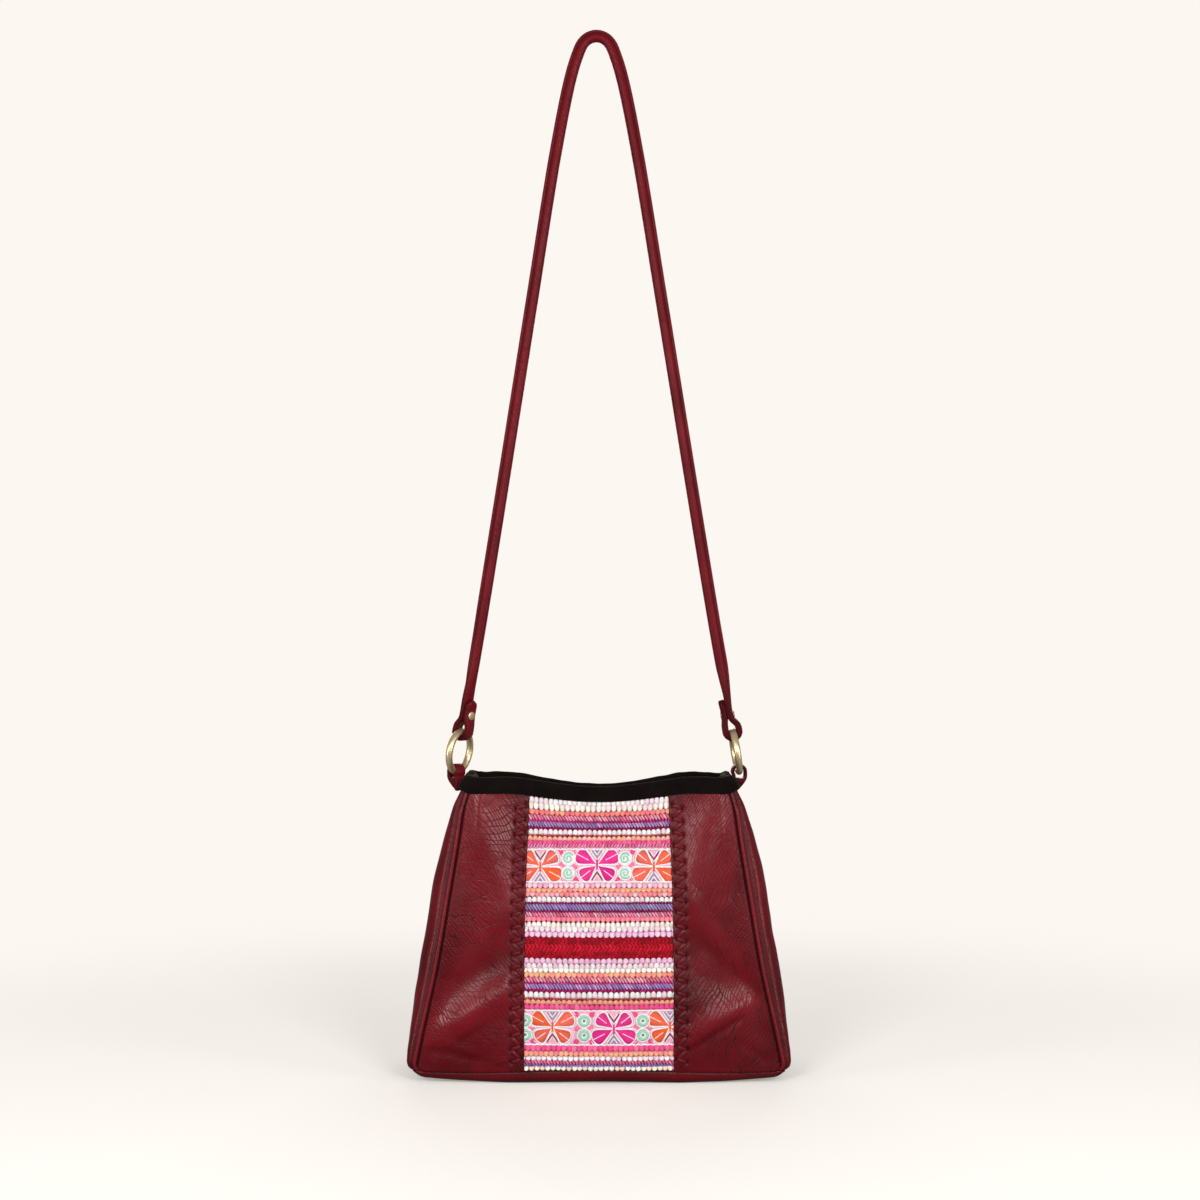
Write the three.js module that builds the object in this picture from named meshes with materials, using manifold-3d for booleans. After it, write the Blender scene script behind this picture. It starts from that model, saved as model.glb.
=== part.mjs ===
// An embroidered leather crossbody bag, hanging by its strap. Millimetres, +Z up, front towards -Y.
// The origin is under the top of the strap, where the bag hangs.
import * as THREE from "three";
import { mergeVertices } from "three/addons/utils/BufferGeometryUtils.js";
import Module from "manifold-3d";

const wasm = await Module();
wasm.setup();

// Driving dimensions. Heights are measured up from the foot of the bag.
const WALL = 2; // leather and textile thickness
const GAP = 0.3; // clearance between neighbouring pieces
const HANG_HEIGHT = 822; // underside of the strap's top
const BAG_SHIFT = 2; // the bag's middle hangs this far right of the strap's top
const RIM_HEIGHT = 238; // ends of the mouth
const RIM_SAG = 10.5; // the middle of the mouth hangs lower by this
const SEAM_CORNER_RADIUS = 8; // front seam, bottom corners
const ROLL_HEIGHT = 7.5; // rolled lower edge at the corners
const ROLL_RISE = 3.5; // and this much more in the middle
const RIB_HEIGHT = 1.8; // raised rib along the seams
const RIB_WIDTH = 4.5;
const RIB_END = 218; // the rib has died away at this height
const RIB_FADE = 10;

const BAND_HEIGHT = 13;
const BAND_WALL = 1.5;
const BAND_SLOT_GAP = 0.6;
const BAND_CROWN = 0.8; // how far the outer face swells

const RING_HEIGHT = 254;
const RING_RADIUS = 16.25; // to the middle of the wire
const WIRE_RADIUS = 2.75;
const STRAP_LEAN = THREE.MathUtils.degToRad(9.2);

const TAB_THICKNESS = 2;
const TAB_WIDTH = 10;
const TAB_BORE_RADIUS = 4.1;
const TAB_FOOT_HEIGHT = 223.5;

const STRAP_HALF = { across: 3.8, inPlane: 4.2 }; // the rolled run
const STRAP_END_HALF = { across: 5.5, inPlane: 2.2 }; // flattened round the rings
const STRAP_SIDES = 10;
const STRAP_STEP = 18;
const FLAT_REACH = 27; // the strap is flat up to here above the ring
const ROLL_REACH = 46; // and fully rolled from here
const TURN_REACH = 160; // the ring's turn has died away along the strap here

const RIVET_PLACE = 13.5; // above the ring's wire, along the strap
const RIVET = { capRadius: 3.6, capHeight: 1.3, shankRadius: 1.5, backRadius: 3, backHeight: 0.8 };

// Half sizes of the body by height: the front seam from the middle (seamX) and from the mid-plane
// (seamY), the middle of the front from the mid-plane (panelY), half the textile strip (stripX),
// how far the gusset swells past the seam (swell) and how deep its middle is drawn in (dip).
const BODY = [
  { height: 7, seamX: 143.1, seamY: 49, panelY: 52, stripX: 58, swell: 7.5, dip: 0 },
  { height: 40, seamX: 136.3, seamY: 48, panelY: 56, stripX: 58, swell: 11.5, dip: 0 },
  { height: 90, seamX: 125.6, seamY: 44, panelY: 51, stripX: 58, swell: 15.5, dip: 0 },
  { height: 140, seamX: 117.4, seamY: 38.5, panelY: 40, stripX: 57.5, swell: 15.5, dip: 0 },
  { height: 190, seamX: 109.4, seamY: 32.5, panelY: 24, stripX: 56, swell: 12, dip: 0 },
  { height: 210, seamX: 106.5, seamY: 30.2, panelY: 17, stripX: 55.2, swell: 9.6, dip: 0.8 },
  { height: 222, seamX: 103.2, seamY: 28.9, panelY: 12.8, stripX: 54.8, swell: 6.4, dip: 5 },
  { height: 240, seamX: 96.6, seamY: 27, panelY: 8.5, stripX: 54.5, swell: 5, dip: 4.6 },
];

// The soft hollow in each leather side of the front: its middle, its half sizes along and across, how
// far its long axis leans from upright, and how deep it is.
const HOLLOW = { x: 98, z: 84, long: 48, short: 20, lean: THREE.MathUtils.degToRad(-55), depth: 3.5 };
const HOLLOW_FADE = 14; // it dies away over this distance from the seams

// The strap's middle line, by how far it lies below its top: half the span between its two sides.
const STRAP_RUN = [
  { drop: 0, span: 0 },
  { drop: 1.6, span: 6 },
  { drop: 6, span: 10.8 },
  { drop: 16.6, span: 15.4 },
  { drop: 36, span: 21 },
  { drop: 93, span: 32.2 },
  { drop: 209, span: 50.8 },
  { drop: 362, span: 75 },
  { drop: 470, span: 92.4 },
];
const RUN_SPAN_AT_RING = 106.5; // the span that the run above has at the rings

// The folded strap end, seen along the ring's wire: outward of the wire and up along the strap.
const FOLDED_END = [
  { outward: -4.4, up: 26 },
  { outward: -4.4, up: 17 },
  { outward: -4.5, up: 10.5 },
  { outward: -5.3, up: 5.5 },
];
const STRAP_BEND = { from: 170, to: 370, steps: 8 }; // degrees round the wire
const STRAIGHT_END = [
  { outward: 4.8, up: 5 },
  { outward: 1.2, up: 10.5 },
  { outward: 0.4, up: 15.5 },
  { outward: 0.4, up: 29 },
];

// The two rings: how far out they hang and how far they are turned about the vertical.
const SIDES = [
  { name: "left", side: -1, reach: 111.5, turn: THREE.MathUtils.degToRad(26) },
  { name: "right", side: 1, reach: 109.3, turn: THREE.MathUtils.degToRad(-1.5) },
];

const MATERIALS = {
  leather: { color: "#611a1e", roughness: 0.45, metalness: 0 },
  textile: { color: "#c98a94", roughness: 0.9, metalness: 0 },
  suede: { color: "#15100e", roughness: 0.95, metalness: 0 },
  brass: { color: "#c7b78f", roughness: 0.3, metalness: 1 },
};

const { clamp, lerp, smoothstep } = THREE.MathUtils;
const END_CROWDING = 0.09; // rows lie closer together near the foot and the rim
const crowded = (share) => share - END_CROWDING * Math.sin(2 * Math.PI * share);
const cosSquared = (share) => Math.cos((Math.PI / 2) * clamp(share, -1, 1)) ** 2;

// A smooth function through one column of a table, which never overshoots its rows.
function column(rows, key, name) {
  const at = rows.map((row) => row[key]);
  const value = rows.map((row) => row[name]);
  const slope = at.slice(1).map((next, i) => (value[i + 1] - value[i]) / (next - at[i]));
  const tangent = value.map((_, i) => {
    const before = slope[Math.max(i - 1, 0)];
    const after = slope[Math.min(i, slope.length - 1)];
    return before * after > 0 ? (2 * before * after) / (before + after) : 0;
  });
  return (place) => {
    const x = clamp(place, at[0], at.at(-1));
    const i = clamp(at.findIndex((next) => next >= x) - 1, 0, slope.length - 1);
    const span = at[i + 1] - at[i];
    const t = (x - at[i]) / span;
    const rise = value[i + 1] - value[i];
    const ease = t * t * (3 - 2 * t);
    const lead = t * (1 - t) * (1 - t) * tangent[i] * span;
    const trail = t * t * (1 - t) * tangent[i + 1] * span;
    return value[i] + rise * ease + lead - trail;
  };
}

const seamX = column(BODY, "height", "seamX");
const seamY = column(BODY, "height", "seamY");
const panelY = column(BODY, "height", "panelY");
const stripX = column(BODY, "height", "stripX");
const swell = column(BODY, "height", "swell");
const dip = column(BODY, "height", "dip");

// How far the front panel lies before the mid-plane.
function panelDepth(x, z) {
  return lerp(seamY(z), panelY(z), cosSquared(x / seamX(z)));
}

function frontDepth(x, z) {
  const across = Math.abs(x) - HOLLOW.x;
  const up = z - HOLLOW.z;
  const along = across * Math.sin(HOLLOW.lean) + up * Math.cos(HOLLOW.lean);
  const aside = across * Math.cos(HOLLOW.lean) - up * Math.sin(HOLLOW.lean);
  const hollow = Math.exp(-((along / HOLLOW.long) ** 2) - (aside / HOLLOW.short) ** 2);
  const fromSide = smoothstep(seamX(z) - Math.abs(x), 0, HOLLOW_FADE);
  const fromBase = smoothstep(z - rollHeight(x), 0, HOLLOW_FADE);
  return panelDepth(x, z) - HOLLOW.depth * hollow * fromSide * fromBase;
}

const LEATHER_TOP_DROP = BAND_WALL + BAND_SLOT_GAP;
const leatherTop = (x) => RIM_HEIGHT - RIM_SAG * cosSquared(x / seamX(RIM_HEIGHT)) - LEATHER_TOP_DROP;

// The seam's outline on the right: along the base, round the corner and up the side.
const SIDE_SLOPE_STEP = 1;
const sideLean = (z) => {
  const fall = seamX(z - SIDE_SLOPE_STEP) - seamX(z + SIDE_SLOPE_STEP);
  return Math.atan2(fall, 2 * SIDE_SLOPE_STEP);
};
const cornerLean = sideLean(2 * SEAM_CORNER_RADIUS);
const cornerTop = ROLL_HEIGHT + SEAM_CORNER_RADIUS * (1 + Math.sin(cornerLean));
const cornerX = seamX(cornerTop) - SEAM_CORNER_RADIUS * Math.cos(cornerLean);
const cornerZ = ROLL_HEIGHT + SEAM_CORNER_RADIUS;
const rollHeight = (x) => ROLL_HEIGHT + ROLL_RISE * cosSquared(x / cornerX);

function baseStation(x) {
  const z = rollHeight(x);
  return { x, z, out: { x: 0, z: -1 }, swell: z, dip: 0 };
}

function cornerStation(share) {
  const angle = lerp(-Math.PI / 2, cornerLean, share);
  const out = { x: Math.cos(angle), z: Math.sin(angle) };
  const x = cornerX + SEAM_CORNER_RADIUS * out.x;
  const z = cornerZ + SEAM_CORNER_RADIUS * out.z;
  return { x, z, out, swell: lerp(ROLL_HEIGHT, swell(cornerTop), share), dip: 0 };
}

function sideStation(z) {
  const lean = sideLean(z);
  return { x: seamX(z), z, out: { x: Math.cos(lean), z: Math.sin(lean) }, swell: swell(z), dip: dip(z) };
}

// Where a line across the strip meets the section of a station: its place (y across, out from the
// seam), its outward direction in that section, and how far the rib stands up there.
const ARC_STEPS = 3;
const FLAT_STEPS = 4;
function stripSection(station) {
  const depth = panelDepth(station.x, station.z);
  const radius = station.swell;
  const ribShare = RIB_WIDTH / ((Math.PI / 2) * radius);
  const rib = RIB_HEIGHT * (1 - smoothstep(station.z, RIB_END - RIB_FADE, RIB_END));
  const shares = [0, ribShare / 2];
  for (let i = 0; i <= ARC_STEPS; i += 1) {
    shares.push(lerp(ribShare, 1, i / ARC_STEPS));
  }
  const front = shares.map((share, i) => {
    const angle = (share * Math.PI) / 2;
    const place = { y: radius - depth - radius * Math.cos(angle), out: radius * Math.sin(angle) };
    return { ...place, normalY: -Math.cos(angle), normalOut: Math.sin(angle), rib: i === 1 ? rib : 0 };
  });
  const flat = [];
  for (let i = 1; i < FLAT_STEPS; i += 1) {
    const y = lerp(radius - depth, depth - radius, i / FLAT_STEPS);
    flat.push({ y, out: radius, normalY: 0, normalOut: 1, rib: 0 });
  }
  const back = front.map((p) => ({ ...p, y: -p.y, normalY: -p.normalY })).reverse();
  return [...front, ...flat, ...back].map((p) => {
    return { ...p, out: p.out - station.dip * cosSquared(p.y / depth) };
  });
}

// Points of the strip at one station, raised from the skin by a height.
function stripPoints(station, side, height) {
  return stripSection(station).map((p) => {
    const raise = height(p);
    const out = p.out + p.normalOut * raise;
    const y = p.y + p.normalY * raise;
    return new THREE.Vector3(side * (station.x + station.out.x * out), y, station.z + station.out.z * out);
  });
}

// A closed body from rows of points on its outer and inner face.
function shell(outer, inner) {
  const rows = outer.length;
  const columns = outer[0].length;
  const points = [...outer.flat(), ...inner.flat()];
  const outside = (i, j) => i * columns + j;
  const inside = (i, j) => (rows + i) * columns + j;
  const triangles = [];
  const quad = (a, b, c, d) => triangles.push(a, b, c, a, c, d);
  for (let i = 0; i < rows - 1; i += 1) {
    for (let j = 0; j < columns - 1; j += 1) {
      quad(outside(i, j), outside(i, j + 1), outside(i + 1, j + 1), outside(i + 1, j));
      quad(inside(i, j), inside(i + 1, j), inside(i + 1, j + 1), inside(i, j + 1));
    }
  }
  for (let i = 0; i < rows - 1; i += 1) {
    quad(outside(i, 0), outside(i + 1, 0), inside(i + 1, 0), inside(i, 0));
    const last = columns - 1;
    quad(outside(i + 1, last), outside(i, last), inside(i, last), inside(i + 1, last));
  }
  for (let j = 0; j < columns - 1; j += 1) {
    quad(outside(0, j + 1), outside(0, j), inside(0, j), inside(0, j + 1));
    const last = rows - 1;
    quad(outside(last, j), outside(last, j + 1), inside(last, j + 1), inside(last, j));
  }
  return facingOut(points, triangles);
}

// A closed body from rings of points, joined end to start or closed with a cap at each end.
function loft(rings, closed) {
  const sides = rings[0].length;
  const points = rings.flat();
  const triangles = [];
  const joins = closed ? rings.length : rings.length - 1;
  for (let i = 0; i < joins; i += 1) {
    const here = i * sides;
    const next = ((i + 1) % rings.length) * sides;
    for (let k = 0; k < sides; k += 1) {
      const turn = (k + 1) % sides;
      triangles.push(here + k, here + turn, next + turn, here + k, next + turn, next + k);
    }
  }
  if (!closed) {
    const last = (rings.length - 1) * sides;
    for (let k = 1; k < sides - 1; k += 1) {
      triangles.push(0, k + 1, k, last, last + k, last + k + 1);
    }
  }
  return facingOut(points, triangles);
}

// An indexed geometry whose triangles all face out.
function facingOut(points, triangles) {
  let volume = 0;
  for (let i = 0; i < triangles.length; i += 3) {
    const [a, b, c] = [points[triangles[i]], points[triangles[i + 1]], points[triangles[i + 2]]];
    volume += a.dot(new THREE.Vector3().crossVectors(b, c));
  }
  if (volume < 0) {
    triangles.reverse();
  }
  const geometry = new THREE.BufferGeometry().setFromPoints(points);
  geometry.setIndex(triangles);
  return geometry;
}

const WELD = 1e-3; // points closer than this are one
function toManifold(geometry) {
  const bare = geometry.clone();
  bare.deleteAttribute("normal");
  bare.deleteAttribute("uv");
  const merged = mergeVertices(bare, WELD);
  const vertProperties = new Float32Array(merged.attributes.position.array);
  const triVerts = new Uint32Array(merged.index.array);
  return new wasm.Manifold(new wasm.Mesh({ numProp: 3, vertProperties, triVerts }));
}

function fromManifold(solid) {
  const mesh = solid.getMesh();
  const geometry = new THREE.BufferGeometry();
  geometry.setAttribute("position", new THREE.BufferAttribute(new Float32Array(mesh.vertProperties), 3));
  geometry.setIndex(new THREE.BufferAttribute(new Uint32Array(mesh.triVerts), 1));
  return geometry;
}

// Panels of the front and back. Their outline lies in (x, z), and their depth follows the body.
const PANEL_ROWS = 15;
const SIDE_COLUMNS = 7;
const STRIP_COLUMNS = 10;
const BACK_COLUMNS = 20;
const cornerMiddle = cornerStation(0.5);

function sideEdge(share) {
  const z = lerp(cornerMiddle.z, leatherTop(seamX(RIM_HEIGHT)), share);
  const rise = (z - cornerZ) / SEAM_CORNER_RADIUS;
  const seam = z < cornerTop ? cornerX + SEAM_CORNER_RADIUS * Math.sqrt(1 - rise * rise) : seamX(z);
  return new THREE.Vector2(seam - GAP, z);
}

function bottomHeight(x) {
  const reach = Math.max(Math.abs(x) - cornerX, 0);
  const round = cornerZ - Math.sqrt(SEAM_CORNER_RADIUS ** 2 - reach ** 2);
  return (reach > 0 ? round : rollHeight(x)) + GAP;
}

const stripEdge = (share, clear) => {
  const z = lerp(bottomHeight(stripX(0)), leatherTop(stripX(RIM_HEIGHT)), share);
  return new THREE.Vector2(stripX(z) + clear, z);
};
const mirrored = (edge) => (share) => edge(share).multiply(new THREE.Vector2(-1, 1));

// A grid of points between two upright edges, with the base line and the rim as its other edges.
function panelGrid(left, right, columns) {
  const grid = [];
  for (let i = 0; i <= PANEL_ROWS; i += 1) {
    const up = crowded(i / PANEL_ROWS);
    const row = [];
    for (let j = 0; j <= columns; j += 1) {
      const across = j / columns;
      const bottomX = lerp(left(0).x, right(0).x, across);
      const topX = lerp(left(1).x, right(1).x, across);
      const bottom = new THREE.Vector2(bottomX, bottomHeight(bottomX));
      const top = new THREE.Vector2(topX, leatherTop(topX));
      const upright = bottom.clone().lerp(top, up);
      const leftBow = left(up).sub(left(0).lerp(left(1), up));
      const rightBow = right(up).sub(right(0).lerp(right(1), up));
      row.push(upright.add(leftBow.lerp(rightBow, across)));
    }
    grid.push(row);
  }
  return grid;
}

const SLOPE_STEP = 0.5;
function panel(grid, facing, depth) {
  const skin = (p) => new THREE.Vector3(p.x, facing * depth(p.x, p.y), p.y);
  const inner = (p) => {
    const slopeX = depth(p.x + SLOPE_STEP, p.y) - depth(p.x - SLOPE_STEP, p.y);
    const slopeZ = depth(p.x, p.y + SLOPE_STEP) - depth(p.x, p.y - SLOPE_STEP);
    const span = 2 * SLOPE_STEP;
    const normal = new THREE.Vector3(-slopeX / span, facing, -slopeZ / span).normalize();
    return skin(p).addScaledVector(normal, -WALL);
  };
  return shell(
    grid.map((row) => row.map(skin)),
    grid.map((row) => row.map(inner)),
  );
}

const FRONT = -1;
const BACK = 1;
const frontSide = panelGrid((t) => stripEdge(t, GAP), sideEdge, SIDE_COLUMNS);
const mirroredGrid = frontSide.map((row) => row.map((p) => new THREE.Vector2(-p.x, p.y)));
const stripGrid = panelGrid(mirrored((t) => stripEdge(t, 0)), (t) => stripEdge(t, 0), STRIP_COLUMNS);
const backGrid = panelGrid(mirrored(sideEdge), sideEdge, BACK_COLUMNS);

// The gussets run from the middle of the corners up to the rim, and the base joins them below.
const JOINT_SHARE = 0.012; // half the clearance at the corner joints, as a share of the corner
const CORNER_STEPS = 2;
const GUSSET_STEPS = 13;
const BASE_STEPS = 14;
const gussetTop = leatherTop(seamX(RIM_HEIGHT));

function gussetStations() {
  const stations = [];
  for (let i = 0; i < CORNER_STEPS; i += 1) {
    stations.push(cornerStation(lerp(0.5 + JOINT_SHARE, 1, i / CORNER_STEPS)));
  }
  for (let i = 0; i <= GUSSET_STEPS; i += 1) {
    stations.push(sideStation(lerp(cornerTop, gussetTop, crowded(i / GUSSET_STEPS))));
  }
  return stations;
}

function gusset(side) {
  const stations = gussetStations();
  return shell(
    stations.map((s) => stripPoints(s, side, (p) => p.rib)),
    stations.map((s) => stripPoints(s, side, () => -WALL)),
  );
}

function basePanel() {
  const half = [];
  for (let i = 1; i <= BASE_STEPS / 2; i += 1) {
    half.push(baseStation((cornerX * 2 * i) / BASE_STEPS));
  }
  for (let i = 1; i <= CORNER_STEPS; i += 1) {
    half.push(cornerStation(lerp(0, 0.5 - JOINT_SHARE, i / CORNER_STEPS)));
  }
  const rows = (height) => [
    ...half.map((s) => stripPoints(s, -1, height)).reverse(),
    stripPoints(baseStation(0), 1, height),
    ...half.map((s) => stripPoints(s, 1, height)),
  ];
  return shell(
    rows((p) => p.rib),
    rows(() => -WALL),
  );
}

// The binding straddles the top of the walls all the way round the mouth.
const RIM_STEPS = 18;
const WALL_SLOPE_DROP = 11;
const BAND_SHOULDER = { down: 2, in: 0.4, crestDown: 0.4 }; // how its top rounds over

function rimLine(drop) {
  const front = [];
  for (let i = 1; i < RIM_STEPS; i += 1) {
    const x = lerp(-1, 1, i / RIM_STEPS) * seamX(RIM_HEIGHT);
    const z = leatherTop(x) - drop;
    front.push(new THREE.Vector3(x, -panelDepth(x, z), z));
  }
  const turned = (p) => new THREE.Vector3(-p.x, -p.y, p.z);
  const right = stripPoints(sideStation(gussetTop - drop), 1, () => 0);
  return [...front, ...right, ...front.map(turned), ...right.map(turned)];
}

function rimBand() {
  const top = rimLine(0);
  const below = rimLine(WALL_SLOPE_DROP);
  const outer = BAND_SLOT_GAP + BAND_WALL;
  const inner = -(WALL + BAND_SLOT_GAP + BAND_WALL);
  const middle = (outer + inner) / 2;
  const crest = BAND_SLOT_GAP + BAND_WALL;
  const hem = crest - BAND_HEIGHT;
  const section = [
    { out: outer, up: hem },
    { out: outer + BAND_CROWN, up: lerp(hem, crest, 0.5) },
    { out: outer, up: crest - BAND_SHOULDER.down },
    { out: lerp(outer, middle, BAND_SHOULDER.in), up: crest - BAND_SHOULDER.crestDown },
    { out: middle, up: crest },
    { out: lerp(inner, middle, BAND_SHOULDER.in), up: crest - BAND_SHOULDER.crestDown },
    { out: inner, up: crest - BAND_SHOULDER.down },
    { out: inner, up: hem },
    { out: inner + BAND_WALL, up: hem },
    { out: inner + BAND_WALL, up: BAND_SLOT_GAP },
    { out: outer - BAND_WALL, up: BAND_SLOT_GAP },
    { out: outer - BAND_WALL, up: hem },
  ];
  const rings = top.map((point, i) => {
    const ahead = top[(i + 1) % top.length];
    const behind = top.at(i - 1);
    const along = ahead.clone().sub(behind).normalize();
    const up = point.clone().sub(below[i]).normalize();
    const out = new THREE.Vector3().crossVectors(along, up).normalize();
    return section.map((p) => point.clone().addScaledVector(out, p.out).addScaledVector(up, p.up));
  });
  return loft(rings, true);
}

// The frame of a ring: across lies along its wire at the top and bottom, up along the strap, and
// out points away from the bag.
function ringFrame({ side, reach, turn }) {
  const up = new THREE.Vector3(-side * Math.sin(STRAP_LEAN), 0, Math.cos(STRAP_LEAN));
  const level = new THREE.Vector3(Math.sin(turn), Math.cos(turn), 0);
  const across = level.clone().addScaledVector(up, -level.dot(up)).normalize();
  const out = new THREE.Vector3().crossVectors(across, up).multiplyScalar(side);
  const middle = new THREE.Vector3(side * reach, 0, RING_HEIGHT);
  const wireTop = middle.clone().addScaledVector(up, RING_RADIUS);
  const wireBottom = middle.clone().addScaledVector(up, -RING_RADIUS);
  return { side, turn, up, across, out, middle, wireTop, wireBottom };
}

// Sets a geometry modelled in (x, y, z) into place, with its x and y axes along the given ones.
function placed(geometry, x, y, at) {
  const z = new THREE.Vector3().crossVectors(x, y);
  return geometry.applyMatrix4(new THREE.Matrix4().makeBasis(x, y, z).setPosition(at));
}

const WIRE_SIDES = 8;
const RING_STEPS = 28;
function ring(frame) {
  const geometry = new THREE.TorusGeometry(RING_RADIUS, WIRE_RADIUS, WIRE_SIDES, RING_STEPS);
  return placed(geometry, frame.across, frame.up, frame.middle);
}

// A leather loop round the ring's wire, whose two legs meet in a foot on the binding's lower edge.
const TAB_LEG_FROM = 35; // degrees below the middle of the bore where the legs leave it
const TAB_CURVE_STEPS = 12;
const TAB_FOOT_SOLID = 8; // the legs lie together up to here above the end of the foot
const BAND_HEM = RIM_HEIGHT - BAND_HEIGHT;
function tab(frame) {
  const out = new THREE.Vector3(Math.cos(frame.turn), -Math.sin(frame.turn), 0).multiplyScalar(frame.side);
  const turnRoom = (TAB_WIDTH / 2) * Math.abs(Math.sin(frame.turn));
  const face = seamX(BAND_HEM) + swell(BAND_HEM) - dip(BAND_HEM) + BAND_SLOT_GAP + BAND_WALL;
  const footIn = face + 2 * GAP + turnRoom - frame.side * frame.wireBottom.x;
  const footOut = footIn + 2 * TAB_THICKNESS;
  const footUp = TAB_FOOT_HEIGHT - frame.wireBottom.z;
  const legs = THREE.MathUtils.degToRad(TAB_LEG_FROM);
  const shape = new THREE.Shape();
  shape.absarc(0, 0, TAB_BORE_RADIUS + TAB_THICKNESS, -legs, Math.PI + legs, false);
  shape.lineTo(footIn, footUp);
  shape.lineTo(footOut, footUp);
  const bore = new THREE.Path();
  bore.absarc(0, 0, TAB_BORE_RADIUS, -legs, Math.PI + legs, false);
  bore.lineTo((footIn + footOut) / 2, footUp + TAB_FOOT_SOLID);
  shape.holes.push(bore);
  const geometry = new THREE.ExtrudeGeometry(shape, {
    depth: TAB_WIDTH,
    bevelEnabled: false,
    curveSegments: TAB_CURVE_STEPS,
  });
  geometry.translate(0, 0, -TAB_WIDTH / 2);
  return placed(geometry, out, new THREE.Vector3(0, 0, 1), frame.wireBottom);
}

// The strap's middle line on one side, from the folded tip round the ring and up to the top.
function strapSide(frame) {
  const inFrame = (p) => {
    return frame.wireTop.clone().addScaledVector(frame.out, p.outward).addScaledVector(frame.up, p.up);
  };
  const bendRadius = WIRE_RADIUS + 2 * GAP + STRAP_END_HALF.inPlane;
  const bend = [];
  for (let i = 0; i <= STRAP_BEND.steps; i += 1) {
    const angle = THREE.MathUtils.degToRad(lerp(STRAP_BEND.from, STRAP_BEND.to, i / STRAP_BEND.steps));
    bend.push({ outward: bendRadius * Math.cos(angle), up: bendRadius * Math.sin(angle) });
  }
  const end = [...FOLDED_END, ...bend, ...STRAIGHT_END].map(inFrame);
  const topZ = HANG_HEIGHT + STRAP_HALF.inPlane;
  const widen = Math.abs(frame.wireTop.x) / RUN_SPAN_AT_RING;
  const run = STRAP_RUN.map(({ drop, span }) => {
    const drift = BAG_SHIFT * (1 - drop / (topZ - frame.wireTop.z));
    return new THREE.Vector3(frame.side * span * widen - drift, 0, topZ - drop);
  });
  return [...end, ...run.reverse()];
}

function strap(frames) {
  const [left, right] = frames.map(strapSide);
  const knots = [...left, ...right.reverse().slice(1)];
  const path = new THREE.CatmullRomCurve3(knots);
  const line = [];
  knots.slice(1).forEach((knot, i) => {
    const steps = Math.ceil(knot.distanceTo(knots[i]) / STRAP_STEP);
    for (let k = 0; k < steps; k += 1) {
      line.push(path.getPoint((i + k / steps) / (knots.length - 1)));
    }
  });
  line.push(knots.at(-1));
  const rings = line.map((point, i) => {
    const frame = point.x < -BAG_SHIFT ? frames[0] : frames[1];
    const above = point.z - frame.wireTop.z;
    const rolled = smoothstep(above, FLAT_REACH, ROLL_REACH);
    const turn = frame.turn * (1 - smoothstep(above, FLAT_REACH, TURN_REACH));
    const ahead = line[Math.min(i + 1, line.length - 1)];
    const along = ahead.clone().sub(line[Math.max(i - 1, 0)]).normalize();
    const across = new THREE.Vector3(Math.sin(turn), Math.cos(turn), 0);
    across.addScaledVector(along, -across.dot(along)).normalize();
    const out = new THREE.Vector3().crossVectors(along, across);
    const halfAcross = lerp(STRAP_END_HALF.across, STRAP_HALF.across, rolled);
    const halfOut = lerp(STRAP_END_HALF.inPlane, STRAP_HALF.inPlane, rolled);
    return ovalRing(point, across.multiplyScalar(halfAcross), out.multiplyScalar(halfOut));
  });
  const holes = frames.map((frame) => toManifold(rivetHole(frame)));
  return fromManifold(holes.reduce((solid, hole) => solid.subtract(hole), toManifold(loft(rings, false))));
}

// A ring of points on an oval with full shoulders.
const SHOULDER = 0.8;
function ovalRing(middle, first, second) {
  const full = (value) => Math.sign(value) * Math.abs(value) ** SHOULDER;
  const points = [];
  for (let k = 0; k < STRAP_SIDES; k += 1) {
    const angle = (2 * Math.PI * k) / STRAP_SIDES;
    const point = middle.clone().addScaledVector(first, full(Math.cos(angle)));
    points.push(point.addScaledVector(second, full(Math.sin(angle))));
  }
  return points;
}

// Rivets go through both layers of a folded strap end. Their axis points out of the ring's plane.
const rivetFaces = () => {
  const layers = [FOLDED_END[2].outward, STRAIGHT_END[1].outward];
  const reach = STRAP_END_HALF.inPlane + GAP;
  return { cap: layers[0] - reach, back: layers[1] + reach };
};

function onRivetAxis(geometry, frame) {
  const at = frame.wireTop.clone().addScaledVector(frame.up, RIVET_PLACE);
  return placed(geometry, frame.across, frame.out, at);
}

const HOLE_SIDES = 12;
function rivetHole(frame) {
  const { cap, back } = rivetFaces();
  const radius = RIVET.shankRadius + GAP;
  const geometry = new THREE.CylinderGeometry(radius, radius, back - cap, HOLE_SIDES);
  geometry.translate(0, (cap + back) / 2, 0);
  return onRivetAxis(geometry, frame);
}

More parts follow.
